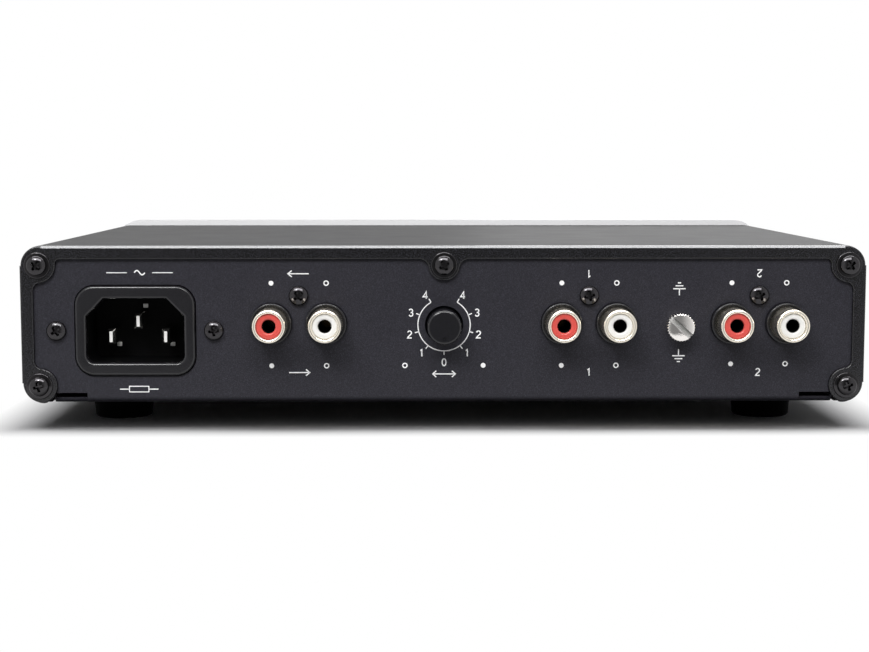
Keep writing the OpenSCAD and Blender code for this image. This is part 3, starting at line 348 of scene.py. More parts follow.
def refinish(made, finish_name, chosen):
    """Gives another finish to the faces for which chosen(centre in mm, normal) is true."""
    made.data.materials.append(finishes[finish_name])
    for face in made.data.polygons:
        if chosen(face.center / MM, face.normal):
            face.material_index = len(made.data.materials) - 1


# %% [markdown]
# ## Finishes
#
# A finish is a colour, a gloss and a small-scale structure. The structure is what the eye trusts: powder
# paint has a fine orange peel, moulded plastic a faint matt grain, turned metal fine rings. Each is a node
# group that reads object coordinates in metres, so a grain keeps its real size on every piece.


# %% Node helpers
def plug(tree, node, inputs):
    """Links or sets the inputs of a node."""
    for key, value in inputs.items():
        if isinstance(value, bpy.types.NodeSocket):
            tree.links.new(value, node.inputs[key])
        else:
            node.inputs[key].default_value = value


def add_node(tree, kind, inputs=None, **settings):
    made = tree.nodes.new(kind)
    for key, value in settings.items():
        setattr(made, key, value)
    plug(tree, made, inputs or {})
    return made


def maths(tree, operation, a, b=0.0, **settings):
    return add_node(tree, "ShaderNodeMath", {0: a, 1: b}, operation=operation, **settings).outputs[0]


def ramp(tree, value, start, stop, first, last):
    """The value mapped from start..stop to first..last."""
    inputs = dict(enumerate((value, start, stop, first, last)))
    return add_node(tree, "ShaderNodeMapRange", inputs).outputs[0]


def axes_of(tree, coordinates="Object"):
    place = add_node(tree, "ShaderNodeTexCoord").outputs[coordinates]
    return add_node(tree, "ShaderNodeSeparateXYZ", {0: place}).outputs


def length_of(tree, parts):
    """The length of the vector with these parts."""
    vector = add_node(tree, "ShaderNodeCombineXYZ", dict(enumerate(parts))).outputs[0]
    return add_node(tree, "ShaderNodeVectorMath", {0: vector}, operation="LENGTH").outputs["Value"]


def noise(tree, place, scale=1.0, detail=2.0, roughness=0.5, key="Vector", dimensions="3D"):
    inputs = {key: place, "Scale": scale, "Detail": detail, "Roughness": roughness}
    return add_node(tree, "ShaderNodeTexNoise", inputs, noise_dimensions=dimensions).outputs["Fac"]


# %% Making a group
def made_group(name, inputs, build):
    """A group with number inputs (name: default), whose outputs are what build(group, inputs) returns."""
    group = bpy.data.node_groups.new(name, "ShaderNodeTree")
    for key, default in inputs.items():
        socket = group.interface.new_socket(key, in_out="INPUT", socket_type="NodeSocketFloat")
        socket.default_value = default
    results = build(group, group.nodes.new("NodeGroupInput").outputs)
    for key in results:
        group.interface.new_socket(key, in_out="OUTPUT", socket_type="NodeSocketFloat")
    plug(group, group.nodes.new("NodeGroupOutput"), results)
    return group


def scaled_coordinates(group, size):
    """Object coordinates divided by a size in metres, so that noise of scale 1 has grains of it."""
    place = add_node(group, "ShaderNodeTexCoord").outputs["Object"]
    scaled = {0: place, "Scale": maths(group, "DIVIDE", 1.0, size)}
    return add_node(group, "ShaderNodeVectorMath", scaled, operation="SCALE").outputs[0]


# %% Group: paint grain
def grain_parts(group, given):
    """Orange peel and specks of paint or plastic: a height, and a mask for the colour."""
    point = scaled_coordinates(group, given["Size"])
    above = maths(group, "SUBTRACT", noise(group, point, 2.3, 0.0), given["Speck Level"])
    mask = maths(group, "MULTIPLY", above, 5.0, use_clamp=True)
    return {"Height": noise(group, point, roughness=0.6), "Mask": mask}


# %% Group: brushed lines
def brush_parts(group, given):
    """Long fine scratches along X: a height and a streak mask."""
    axes = axes_of(group)
    sizes = (("X", "Length"), ("Y", "Width"), ("Z", "Width"))
    scaled = [maths(group, "DIVIDE", axes[axis], given[size]) for axis, size in sizes]
    point = add_node(group, "ShaderNodeCombineXYZ", dict(enumerate(scaled))).outputs[0]
    return {"Height": noise(group, point, detail=3.0), "Mask": noise(group, point, 0.12)}


# %% Group: turned rings
def ring_parts(group, given):
    """Fine rings round an axis along Y, as a lathe tool leaves them."""
    axes = axes_of(group)
    offsets = [maths(group, "SUBTRACT", axes[axis], given["Centre " + axis]) for axis in "XZ"]
    depth = maths(group, "ADD", length_of(group, offsets), axes["Y"])
    along = maths(group, "DIVIDE", depth, given["Pitch"])
    line = noise(group, along, key="W", dimensions="1D")
    return {"Height": line, "Mask": noise(group, along, 0.2, key="W", dimensions="1D")}


# %% Group: handling marks
def handling_parts(group, given):
    """Soft cloudy patches, as fingers and a cloth leave on a surface."""
    point = scaled_coordinates(group, given["Size"])
    return {"Cloud": noise(group, point, detail=5.0, roughness=0.55)}


grain_group = made_group("paint_grain", {"Size": 0.3 * MM, "Speck Level": 0.5}, grain_parts)
brush_group = made_group("brushed_lines", {"Width": 0.12 * MM, "Length": 40 * MM}, brush_parts)
ring_inputs = {"Centre X": 0.0, "Centre Z": 0.0, "Pitch": 0.15 * MM}
ring_group = made_group("turned_rings", ring_inputs, ring_parts)
handling_group = made_group("handling", {"Size": 12 * MM}, handling_parts)
print("node groups:", ", ".join(group.name for group in bpy.data.node_groups))

# %% [markdown]
# One function makes a finish out of these groups. The structure gives a height for the bump and a mask that
# shifts the colour; the cloud of handling marks shifts the roughness. Paint grain is the usual structure.


# %% A finish from a structure group
def new_material(name):
    material = bpy.data.materials.new(name)
    material.use_nodes = True
    return material, material.node_tree, material.node_tree.nodes["Principled BSDF"]


def finish(
    name, colour, roughness, metallic=0.0, grain=0.3, level=0.5, group=None, settings=None,
    depth=0.01, tint=0.15, shift=0.08, specular=0.5, coat=0.0, transmission=0.0,
):
    """colour is linear, grain and depth are mm, tint varies the colour and shift the roughness."""
    finishes[name], tree, shader = new_material(name)
    if not group:
        group, settings = grain_group, {"Size": grain * MM, "Speck Level": level}
    structure = add_node(tree, "ShaderNodeGroup", node_tree=group)
    plug(tree, structure, settings or {})
    cloud = add_node(tree, "ShaderNodeGroup", node_tree=handling_group).outputs["Cloud"]
    light = [min(1, c * (1 + tint)) for c in colour]
    dark = [c * (1 - tint) for c in colour]
    mix = {0: structure.outputs["Mask"], 6: (*dark, 1), 7: (*light, 1)}
    height = {"Height": structure.outputs["Height"], "Distance": depth * MM, "Strength": 1.0}
    plug(tree, shader, {
        "Base Color": add_node(tree, "ShaderNodeMix", mix, data_type="RGBA").outputs[2],
        "Roughness": ramp(tree, cloud, 0.0, 1.0, max(0.03, roughness - shift), min(1, roughness + shift)),
        "Normal": add_node(tree, "ShaderNodeBump", height).outputs[0],
        "Metallic": metallic,
        "Specular IOR Level": specular,
        "Coat Weight": coat,
        "Coat Roughness": 0.08,
        "Transmission Weight": transmission,
    })


# %% [markdown]
# ## The blacks
#
# Six blacks meet on the rear, and the eye tells them apart by gloss and grain: a satin sleeve, a glossier
# frame with fine glints, a smooth and slightly blue chassis, glossy mouldings and knob, and blackened screws.
# The frame's bevel is a thin metallic edge that is a painted highlight, and hollows have a near-black that is
# painted shade.

# %% Painted and moulded blacks
finish("sleeve_coat", (0.012, 0.012, 0.0132), 0.46, depth=0.016, tint=0.6, shift=0.04, specular=0.10)
finish("rim_coat", (0.0160, 0.0156, 0.0196), 0.22, grain=0.4, depth=0.045, tint=1.0, shift=0.05)
finish("chassis_coat", (0.0268, 0.0260, 0.0340), 0.42, depth=0.018, tint=0.4, specular=0.25)
finish("black_screw", (0.060, 0.058, 0.061), 0.08, 1.0, 0.15, depth=0.001, tint=0.3, shift=0.03)
finish("black_moulding", (0.0125, 0.0122, 0.0145), 0.18, grain=0.2, depth=0.006, tint=0.3, shift=0.04)
finish("knob_plastic", (0.0085, 0.0083, 0.0105), 0.15, grain=0.12, depth=0.0015, tint=0.2, shift=0.03)
# A near-black that is painted shade. It darkens the hollows it lines: the inlet's well, the socket bores and
# the walls of the thumbscrew's slot.
finish("painted_shade_black", (0.0015, 0.0015, 0.0017), 0.6, specular=0.08)
# The bevel's metallic grey is a painted highlight. It stands in for the overhead light that the frame's
# painted bevel catches.
finish("bevel_painted_highlight", (0.23, 0.23, 0.235), 0.26, 0.9, depth=0.004, tint=0.25)
# The feet are black rubber, and they are made darker than rubber as painted shade, so that they sink into the
# shadow under the case.
finish("foot_rubber", (0.0020, 0.0020, 0.0020), 0.85, grain=0.4, depth=0.03, tint=0.3, specular=0.05)
print(len(finishes), "black finishes")

# %% [markdown]
# ## The metals, the mouldings and the parts inside
#
# The socket sleeves and the terminal are turned nickel, so they carry fine rings. The fascia is brushed along
# its length and blasted at the back. The parts inside show only in a section, but each has a finish too.

# %% Metals
rings = {"metallic": 1.0, "group": ring_group}
lines = {"metallic": 1.0, "group": brush_group}
terminal = middle("ground_screw")
terminal_rings = {"Centre X": terminal.x * MM, "Centre Z": terminal.z * MM, "Pitch": 0.2 * MM}
finish("fascia_alloy", (0.62, 0.62, 0.63), 0.42, **lines, depth=0.003, tint=0.05)
finish("blasted_alloy", (0.86, 0.86, 0.87), 0.6, 0.2, tint=0.05)
finish("turned_alloy", (0.62, 0.62, 0.63), 0.28, **rings, depth=0.003, tint=0.06)
finish("nickel", (0.90, 0.84, 0.73), 0.27, **rings, depth=0.0003, tint=0.04, shift=0.04)
finish("turned_nickel", (0.90, 0.87, 0.84), 0.10, **rings, settings=terminal_rings, tint=0.05, shift=0.03)
finish("pin_plate", (0.80, 0.79, 0.75), 0.15, 1.0, 0.4, depth=0.002, tint=0.05)
# The pin tips' paler, less metallic finish is a painted highlight. It makes the tip faces read bright, as if
# they caught a light.
finish("tip_painted_highlight", (0.95, 0.94, 0.91), 0.3, 0.25, 0.4, depth=0.002, tint=0.05)
finish("milled_slot", (0.80, 0.78, 0.75), 0.42, 0.3, 0.12, tint=0.3)
finish("zinc_steel", (0.58, 0.59, 0.60), 0.32, 1.0, 0.5, depth=0.002, tint=0.1)
finish("contact_brass", (0.16, 0.11, 0.05), 0.34, 1.0, 0.3, depth=0.002, tint=0.1)
finish("heatsink_alloy", (0.05, 0.05, 0.055), 0.4, **lines, depth=0.003, tint=0.1)
windings = {"Pitch": 0.6 * MM}
finish("copper_winding", (0.55, 0.20, 0.08), 0.35, **rings, settings=windings, depth=0.15, tint=0.3)
print(len(finishes), "finishes so far")

# %% Plastics and parts inside
ribs = {"group": brush_group, "settings": {"Width": 1.2 * MM}}
finish("red_moulding", (0.70, 0.092, 0.076), 0.16, grain=0.15, depth=0.002, tint=0.06)
finish("white_moulding", (0.86, 0.85, 0.82), 0.16, grain=0.15, depth=0.002, tint=0.03)
finish("pot_plastic", (0.03, 0.04, 0.06), 0.4, grain=0.2, depth=0.004)
finish("board_laminate", (0.010, 0.075, 0.030), 0.35, grain=1.4, level=0.55, depth=0.02, tint=0.4)
finish("ferrite", (0.030, 0.029, 0.028), 0.55, depth=0.02, tint=0.3)
finish("capacitor_sleeve", (0.012, 0.014, 0.022), 0.22, grain=0.8, coat=0.4)
finish("white_nylon", (0.72, 0.71, 0.66), 0.5, grain=0.2, depth=0.006, tint=0.04)
finish("chip_epoxy", (0.014, 0.014, 0.015), 0.6, grain=0.15, tint=0.3)
finish("film_red", (0.42, 0.03, 0.02), 0.25, grain=0.9, depth=0.02, tint=0.1)
finish("relay_case", (0.05, 0.09, 0.20), 0.35, grain=0.2, depth=0.004, tint=0.1)
finish("ribbon_grey", (0.27, 0.28, 0.30), 0.5, **ribs, depth=0.2)
finish("lead_brown", (0.06, 0.022, 0.008), 0.42, grain=0.4)
finish("led_lens", (0.75, 0.82, 0.90), 0.12, grain=0.6, depth=0.002, tint=0.03, transmission=0.75)
finish("print_white", (0.92, 0.92, 0.92), 0.5, grain=0.1, depth=0.001, tint=0.03)
for name, made in nodes.items():
    made.data.materials.clear()
    made.data.materials.append(finishes[slot_of[name]])
print(len(finishes), "finishes on", len(nodes), "CAD nodes")

# %% [markdown]
# ## The extruded sleeve
#
# The sleeve is one extrusion: a top, two rounded sides and two short lips under the case, with round screw
# ports inside. A coarse edge would show as bands along the top, so the section has fine arcs.

# %% Sleeve
lip_x = 100.4
skin = 2
port_r, pilot_r = 3.2, 1.28
bend_x, bend_z = half_w - corner_r, half_h - corner_r
outer_half = [(lip_x, -half_h), *arc((bend_x, -bend_z), corner_r, -90, 0, 4)]
outer_half += arc((bend_x, bend_z), corner_r, 0, 90, 4)
inner_half = [(lip_x, skin - half_h), *arc((bend_x, -bend_z), corner_r - skin, -90, 0)]
inner_half += arc((bend_x, bend_z), corner_r - skin, 0, 90)
section = outer_half + mirrored(outer_half)
section = clean(section + mirrored(inner_half[::-1]) + inner_half[::-1])
ports = [(s * port_x, z) for s in (-1, 1) for z in (port_top, port_low)] + [(0, port_top)]


def sleeve_run(outline, holes=(), end=wall_back):
    raised = [shifted(hole, 0, case_mid) for hole in holes]
    return plate_mesh(shifted(outline, 0, case_mid), raised, case_front, end, 0)


runs = [sleeve_run(section)]
runs += [sleeve_run(circle(p, port_r, 48), [circle(p, pilot_r, 24)]) for p in ports]
runs += [sleeve_run(round_box(2, 0.6, 0.05, (x, 17.9))) for x in (-port_x, 0, port_x)]
for s in (-1, 1):
    ledge = round_box(5.5, 1, 0.05, (s * (port_x - 2.75), 1.85 - half_h))
    runs.append(sleeve_run(ledge, end=wall_back - 8))
piece("sleeve_extrusion", joined(runs), "sleeve_coat", ["cover_sleeve"])
print("sleeve:", len(section), "points in its section")

# %% [markdown]
# ## The rear frame
#
# The rim stands one millimetre proud of the wall, and its inner edge swells into a round lug at each screw,
# with a fillet on both sides. Where the top meets the rim, a flat bevel mirrors the light above: the
# brightest line on the rear. The outline is built for one half and mirrored.

# %% Rear frame
side_x = 102.25
lug_r = 4.5
outer_half = [(side_x, -half_h), *arc((side_x, -bend_z), corner_r, -90, 0)]
outer_half += [(half_w, -bend_z), (half_w, bend_z)]
outer_half += arc((side_x, bend_z), corner_r, 0, 90)
inner_half = arc((0, port_top), 4, -90, -8.85)
inner_half += arc((6.42, 14.1), 2.5, 171.15, 90)
inner_half += arc((97.308, 15.4), 1.2, 90, -3, 12)
inner_half += arc((port_x, port_top), lug_r, 177, 263.4)
inner_half += arc((side_x, 8.643), 2, 83.4, 0)
inner_half += arc((side_x, -9.243), 2, 0, -83.4)
inner_half += arc((port_x, port_low), lug_r, 96.6, 252.86)
outer = outer_half + mirrored(outer_half)
rim = clean(outer + mirrored(inner_half) + inner_half)
skirt_inner = [(-101.5, -half_h), *arc((-102.3, -16.6), 3.6, -77, -180), (-105.9, 14.8)]
skirt_inner += arc((-102.3, 14.8), 3.6, 180, 90)
skirt = clean(outer + skirt_inner + mirrored(skirt_inner))
rim_plate = plate_mesh(shifted(rim, 0, case_mid), [], wall_face, rim_face, 0.42, 4)
skirt_plate = plate_mesh(shifted(skirt, 0, case_mid), [], wall_back, wall_face, 0)
bevel, beyond = 0.85, 0.3
bevel_rings = []
for x in (-102, 102):
    corner = [(-bevel, beyond), (beyond, beyond), (beyond, -bevel)]
    bevel_rings.append([(x, rim_face + dy, case_top + dz) for dy, dz in corner])
rim_plate = cut(rim_plate, [loft_mesh(bevel_rings)])
rim_piece = piece("rear_rim", joined([rim_plate, skirt_plate]), "rim_coat", ["rear_frame"])


def on_bevel(centre, normal):
    return normal.z > 0.5 and abs(normal.x) < 0.05 and abs(normal.y - normal.z) < 0.05


# The bevel's faces get the metallic grey of the painted highlight.
refinish(rim_piece, "bevel_painted_highlight", on_bevel)
print("rear frame:", len(rim), "points in the rim")

# %% [markdown]
# ## Pan-head screws
#
# Every black screw on the rear is the same part: a domed head with a cross recess, which two tapered blades
# cut. It is copied with a new turn each time, because no two screws stop at the same angle.

# %% One screw
head_r, head_h = 2.5, 1.7
dome_turns = [math.pi / 2 * n / 12 for n in range(1, 13)]
dome = [(head_r * math.sin(t), head_h * (0.35 + 0.65 * math.cos(t))) for t in dome_turns]
shank = [(1.3, 0), (1.3, -3), (0, -3)]
head_profile = [(0, head_h), *dome, (head_r, 0.08), (head_r - 0.08, 0), *shank]
taper = 0.62
blades = []
for w, h in ((2.9, 0.78), (0.78, 2.9)):
    blades.append(tapered_box((w, h), (taper * w, taper * h), head_h + 0.2, head_h - 1.15))
screw_mesh = softened(cut(lathe_mesh(head_profile, (0, 0, 0), steps=64), blades), 0.06)
washer_h, washer_round = 0.45, 0.28
washer_edge = arc((washer_r - washer_round, washer_h - washer_round), washer_round, 0, 90, 15)
washer_profile = [(1.5, 0), (washer_r - 0.1, 0), (washer_r, 0.1), *washer_edge, (1.5, washer_h)]
washer_mesh = lathe_mesh(washer_profile, (0, 0, 0), steps=72)


def screw_row(name, places, node, washers=False):
    """Copies of the screw at (x, z, turn) on the plane where the node's heads sit."""
    seat = rim_face if washers else wall_face
    rise = washer_h if washers else 0
    meshes = [moved(screw_mesh, (x, seat + rise, z), turn) for x, z, turn in places]
    if washers:
        meshes += [moved(washer_mesh, (x, seat, z)) for x, z, turn in places]
    piece(name, joined(meshes), "black_screw", [node], smooth=30)


inlet_x, inlet_z = middle("mains_inlet_shell").xz
ear_x = 20
frame_turns = [38, 20, 52, 12, 30]
frame_places = [(x, case_mid + z, turn) for (x, z), turn in zip(ports, frame_turns)]
screw_row("frame_screw_set", frame_places, "frame_screws", True)
inlet_places = [(inlet_x - ear_x, inlet_z, 8), (inlet_x + ear_x, inlet_z, 33)]
screw_row("inlet_screw_set", inlet_places, "inlet_screws")
pair_names = ("output", "mm", "mc")
aside = 7
pairs = [middle(name + "_jack_block").x for name in pair_names]
socket_z = middle("output_jack_sleeves").z
socket_places = [(x, socket_z + 7.1, turn) for x, turn in zip(pairs, (40, 12, 25))]
screw_row("socket_screw_set", socket_places, "jack_screws")
print("pairs of sockets at x =", [round(x, 1) for x in pairs])

# %% [markdown]
# ## The phono sockets
#
# A phono socket is four parts one inside another: a black collar, a nickel sleeve with a rounded lip, a
# coloured insulator with a rounded bore, and the brass contact deep inside. The gap and the small steps
# between them give it its rings of light and dark. Depths count from the end of the extrusion.

# %% The collar of a socket
collar_top = high("output_jack_block").y - wall_back
sleeve_front = high("output_jack_sleeves").y - wall_back
insulator_front = high("red_insulators").y - wall_back
seat = low("output_jack_sleeves").y - wall_back
hole_r, collar_r, collar_round = 4.62, 5.25, 0.35
step_top, step_low = collar_top - 1.2, collar_top - 1.5
collar_edge = arc((collar_r - collar_round, collar_top - collar_round), collar_round, 0, 90, 15)
collar_profile = [(hole_r, -3), (collar_r, -3), *collar_edge, (4.8, collar_top - 0.08)]
collar_profile += [(4.8, step_top), (4.23, step_top), (4.23, step_low), (hole_r, step_low)]
print(f"collar to {collar_top:.1f} mm from the wall")

# %% The sleeve, the insulator and the bore's painted shade
sleeve_r, core_r, bore_r = 4.2, 3.2, 1.7
lip_r = (sleeve_r - core_r) / 2
lip = arc((sleeve_r - lip_r, sleeve_front - lip_r), lip_r, 0, 180, 10)
sleeve_step = step_low - 0.02
sleeve_profile = [(core_r, seat), (4.6, seat), (4.6, sleeve_step), (sleeve_r, sleeve_step), *lip]
plug_r, rim_round, bore_round = core_r - 0.02, 0.35, 0.5
insulator_profile = [(bore_r, seat), (plug_r, seat), (plug_r, insulator_front - rim_round)]
insulator_profile += arc((plug_r - rim_round, insulator_front - rim_round), rim_round, 15, 90, 15)
insulator_profile += arc((bore_r + bore_round, insulator_front - bore_round), bore_round, 90, 180, 15)
# A thin black sleeve in each bore is painted shade: it darkens the bore's white or red wall as if no light
# reached it.
bore_shade_profile = [(bore_r, seat + 0.5), (bore_r, insulator_front - 0.7)]
bore_shade_profile += [(bore_r - 0.08, insulator_front - 0.78), (bore_r - 0.12, seat + 0.5)]
print(f"sleeve to {sleeve_front:.1f}, insulator to {insulator_front:.1f} mm from the wall")


# %% Sockets
def turned_set(profile, places):
    return [lathe_mesh(profile, (x, wall_back, socket_z)) for x in places]


for label, x in zip(pair_names, pairs):
    block_low, block_high = ends_of(label + "_jack_block")
    width, height = block_high.x - block_low.x, block_high.z - block_low.z
    sides = [x - aside, x + aside]
    holes = [circle((side, socket_z), hole_r) for side in sides]
    outline = round_box(width, height, 0.6, (x, (block_low.z + block_high.z) / 2))
    body = plate_mesh(outline, holes, block_low.y, wall_back, 0.2)
    collars = turned_set(collar_profile, sides)
    block = joined([body, *collars])
    piece(label + "_socket_block", block, "black_moulding", [label + "_jack_block"])
    sleeves = joined(turned_set(sleeve_profile, sides))
    piece(label + "_socket_sleeves", sleeves, "nickel", [label + "_jack_sleeves"])
for colour, side in (("red", aside), ("white", -aside)):
    places = [x + side for x in pairs]
    cores = joined(turned_set(insulator_profile, places))
    piece(colour + "_cores", cores, colour + "_moulding", [colour + "_insulators"])
    # Each bore gets its black sleeve of painted shade.
    bore_shade_meshes = joined(turned_set(bore_shade_profile, places))
    piece(colour + "_painted_bore_shade", bore_shade_meshes, "painted_shade_black")
print("sockets at z =", round(socket_z, 2))

# %% [markdown]
# ## The mains inlet
#
# The inlet is a moulded shroud through a window in the wall. Its mouth has the shape of the plug, with two
# corners cut off, and three flat pins stand in it. The rounded rim shows as a soft grey outline.

# %% Inlet shroud
shell_low, shell_high = ends_of("mains_inlet_shell")
mouth_floor = shell_high.y - 15
rim_depth = shell_high.y - 2.5
mouth = [(-12.4, -6.2), *arc((-10.4, -6.2), 2, 180, 270), *arc((10.4, -6.2), 2, 270, 360), (12.4, 3.7)]
mouth = clean(mouth + [(7.9, 8.2), (-7.9, 8.2), (-12.4, 3.7)])
mouth = shifted(mouth, inlet_x, inlet_z)
inlet = (inlet_x, inlet_z)
shroud = round_box(30.5, 23, 5, inlet)
flange = (wall_back - 2.5, wall_back, 0.2)
shell = [
    plate_mesh(shroud, [mouth], rim_depth, shell_high.y, 0.7, 6),
    plate_mesh(round_box(34, 26.5, 5, inlet), [shroud], *flange),
]
for s in (-1, 1):
    ear = round_box(7.4, 9, 3.6, (inlet_x + s * 20.8, inlet_z))
    shell.append(plate_mesh(ear, [circle((inlet_x + s * ear_x, inlet_z), 1.6, 32)], *flange))
piece("inlet_shroud", joined(shell), "black_moulding", ["mains_inlet_shell"])
# The walls and floor inside the mouth are a near-black that is painted shade, darker than the shroud's own
# moulding.
well = [
    plate_mesh(shroud, [mouth], mouth_floor, rim_depth, 0),
    plate_mesh(shroud, [], shell_low.y, mouth_floor, 0),
]
piece("inlet_well_painted_shade", joined(well), "painted_shade_black")
print("inlet at", round(inlet_x, 1), round(inlet_z, 1))

# %% Inlet pins
pin_front, pin_back = high("inlet_pins").y, low("inlet_pins").y
pin_sizes = ((2, 4, shell_low.y), (2, 4, pin_front - 0.65), (0.8, 2.8, pin_front))
pin_meshes = []
for dx, dz in ((-7, -2), (7, -2), (0, 2)):
    x, z = inlet_x + dx, inlet_z + dz
    pin_rings = [[(a, y, b) for a, b in round_box(w, h, 0.2, (x, z))] for w, h, y in pin_sizes]
    pin_meshes.append(loft_mesh(pin_rings))
    root = round_box(1.5, 1.3, 0.3, (x - 0.5, z + (-2.9 if dx else 3.2)))
    pin_meshes.append(plate_mesh(root, [], mouth_floor - 1, mouth_floor + 0.5, 0.2))
    tab = round_box(0.8, 4.8, 0.1, (x, z))
    pin_meshes.append(plate_mesh(tab, [], shell_low.y, pin_back, 0.15))
pins = piece("inlet_blades", joined(pin_meshes), "pin_plate", ["inlet_pins"])
# The flat tip faces get the paler finish of the painted highlight.
refinish(pins, "tip_painted_highlight", lambda centre, normal: normal.y > 0.95 and centre.y > mouth_floor)
print("pin tips", round(shell_high.y - pin_front, 1), "mm below the mouth")

# %% [markdown]
# ## The balance control
#
# A small black knob on a potentiometer shaft. It tapers a little, its front edge is rounded, and a dimple
# near the edge is its pointer. Because it turns, it rides on its own body.

# %% Balance knob
knob_low, knob_high = ends_of("balance_knob")
knob_x, knob_z = middle("balance_knob").xz
knob_len = knob_high.y - knob_low.y
knob_r = (knob_high.x - knob_low.x) / 2
shaft_r = 2.97
tip_r, fillet = knob_r - 0.12, 0.65
knob_profile = [(shaft_r, 0), (knob_r - 0.1, 0), (knob_r, 0.1), (tip_r + 0.02, knob_len - fillet)]
knob_profile += arc((tip_r - fillet, knob_len - fillet), fillet, 9, 90, 9)
knob_profile += [(2, knob_len), (0, knob_len), (0, knob_len - 2), (shaft_r, knob_len - 2)]
dimple_profile = [(0, 1), (0.5, 1), (0.47, -0.15), (0.33, -0.32), (0, -0.36)]
dimple = lathe_mesh(dimple_profile, (knob_x, knob_high.y, knob_z - 2.9), steps=32)
knob_mesh = cut(lathe_mesh(knob_profile, (knob_x, knob_low.y, knob_z)), [dimple])
piece("balance_cap", knob_mesh, "knob_plastic", ["balance_knob"], "balance_control")
print("balance knob at", round(knob_x, 2), round(knob_z, 2))

# %% [markdown]
# ## The ground terminal
#
# A thumbscrew holds the turntable's ground wire: a knurled head with a slot, a loose washer behind it, and a
# threaded stud. The knurl is a wave on the head's radius, cut off by a chamfer at both ends, so every tooth
# ends in a small bright facet.

# %% The thumbscrew's head
screw_low, screw_high = ends_of("ground_screw")
ground_x, ground_z = middle("ground_screw").xz
head_back = high("ground_washer").y + 0.1
teeth, points = 30, 360
knurl_r, knurl_wave = 3.48, 0.14
side_rings = [(0, 3.32), (0.3, 3.55), (0.4, 3.62), (3.3, 3.62), (3.45, 3.55), (3.66, 3.32)]
face_rings = [(4.0 - 0.03 * r * r, r) for r in (2.9, 2.4, 1.8, 1.2, 0.6, 0.1)]
head_rings = []
for depth, limit in side_rings + face_rings:
    ring = []
    for n in range(points):
        turn = 2 * math.pi * n / points
        radius = min(limit, knurl_r + knurl_wave * math.cos(teeth * turn))
        x, z = ground_x + radius * math.cos(turn), ground_z + radius * math.sin(turn)
        ring.append((x, head_back + depth, z))
    head_rings.append(ring)
slot_deep, slot_wide, slot_turn = 1.6, 1.4, -42
slot_tool = tapered_box((12, slot_wide), (12, slot_wide), -slot_deep, 1.0)
slot_tool = moved(slot_tool, (ground_x, screw_high.y, ground_z), slot_turn)
thumb_head = softened(cut(loft_mesh(head_rings), [slot_tool]), 0.07)
print("ground terminal at", round(ground_x, 2), round(ground_z, 2))

# %% The thumbscrew's thread, slot and washer
root_r, crest_r = 1.72, 1.98
thread = [(0, 0)]
stud_len = head_back + 0.5 - screw_low.y
crest = 0.3
while crest < stud_len - 0.9:
    thread += [(root_r, crest), (crest_r, crest + 0.3), (crest_r, crest + 0.4)]
    crest += 0.7
thread += [(root_r, crest), (root_r, stud_len), (0, stud_len)]
stud = lathe_mesh(thread, (ground_x, screw_low.y, ground_z), steps=48)
thumb_mesh = joined([thumb_head, stud])
thumb = piece("thumbscrew", thumb_mesh, "turned_nickel", ["ground_screw"], "ground_screw", 30)
slot_floor = screw_high.y - slot_deep
slot_side = Matrix.Rotation(math.radians(slot_turn), 3, "Y") @ Vector((0, 0, 1))


def on_slot_wall(centre, normal):
    across = Vector((centre.x - ground_x, 0, centre.z - ground_z)).dot(slot_side)
    return abs(normal.y) < 0.1 and abs(abs(across) - slot_wide / 2) < 0.01 and centre.y > slot_floor


refinish(thumb, "milled_slot", lambda centre, normal: abs(centre.y - slot_floor) < 0.05 and normal.y > 0.9)
# The slot's walls are painted near-black: painted shade in the deep, narrow slot.
refinish(thumb, "painted_shade_black", on_slot_wall)
ring_profile = [(2.1, 0), (3.24, 0), (3.32, 0.08), (3.32, 0.52), (3.24, 0.6), (2.1, 0.6)]
ring_mesh = lathe_mesh(ring_profile, (ground_x, low("ground_washer").y, ground_z))
piece("loose_washer", ring_mesh, "nickel", ["ground_washer"], "ground_washer")
print("stud", round(stud_len, 1), "mm long")

# %% [markdown]
# ## The fascia and its controls
#
# The front is a thick plate of brushed alloy, a little taller than the case, with a narrow bevel round its
# face and a blasted back. Its volume knob has a shallow dish and a black pointer groove.

# %% Fascia
face_low, face_high = ends_of("fascia")
pocket_low, pocket_high = ends_of("front_subframe")
led_low, led_high = ends_of("status_leds")
volume, phones = middle("volume_knob"), middle("headphone_ring")
buttons = [middle("power_button"), middle("selector_button")]
lights = [led_low.x + 1.5, led_high.x - 9.5, led_high.x - 1.5]
face_holes = [circle((volume.x, volume.z), 4), circle((phones.x, phones.z), 4.7)]
face_holes += [circle((b.x, b.z), 4.8) for b in buttons]
face_holes += [circle((x, case_mid), 1.6, 32) for x in lights]
middle_line = (0, case_mid)
face_outline = round_box(face_high.x - face_low.x, face_high.z - face_low.z, 8.5, middle_line)
pocket_wide = pocket_high.x - pocket_low.x + 0.2
pocket = round_box(pocket_wide, pocket_high.z - pocket_low.z + 0.2, 3.5, middle_line)
pocket_floor = pocket_low.y - 0.1
face_parts = [
    plate_mesh(face_outline, face_holes, pocket_floor, face_low.y, 0.8, 1),
    plate_mesh(face_outline, [pocket], pocket_floor, face_high.y, 0),
]
plate = piece("fascia_plate", joined(face_parts), "fascia_alloy", ["fascia"])
refinish(plate, "blasted_alloy", lambda centre, normal: normal.y > 0.9)
print("lights at", [round(x, 1) for x in lights], "buttons at", [round(b.x, 1) for b in buttons])

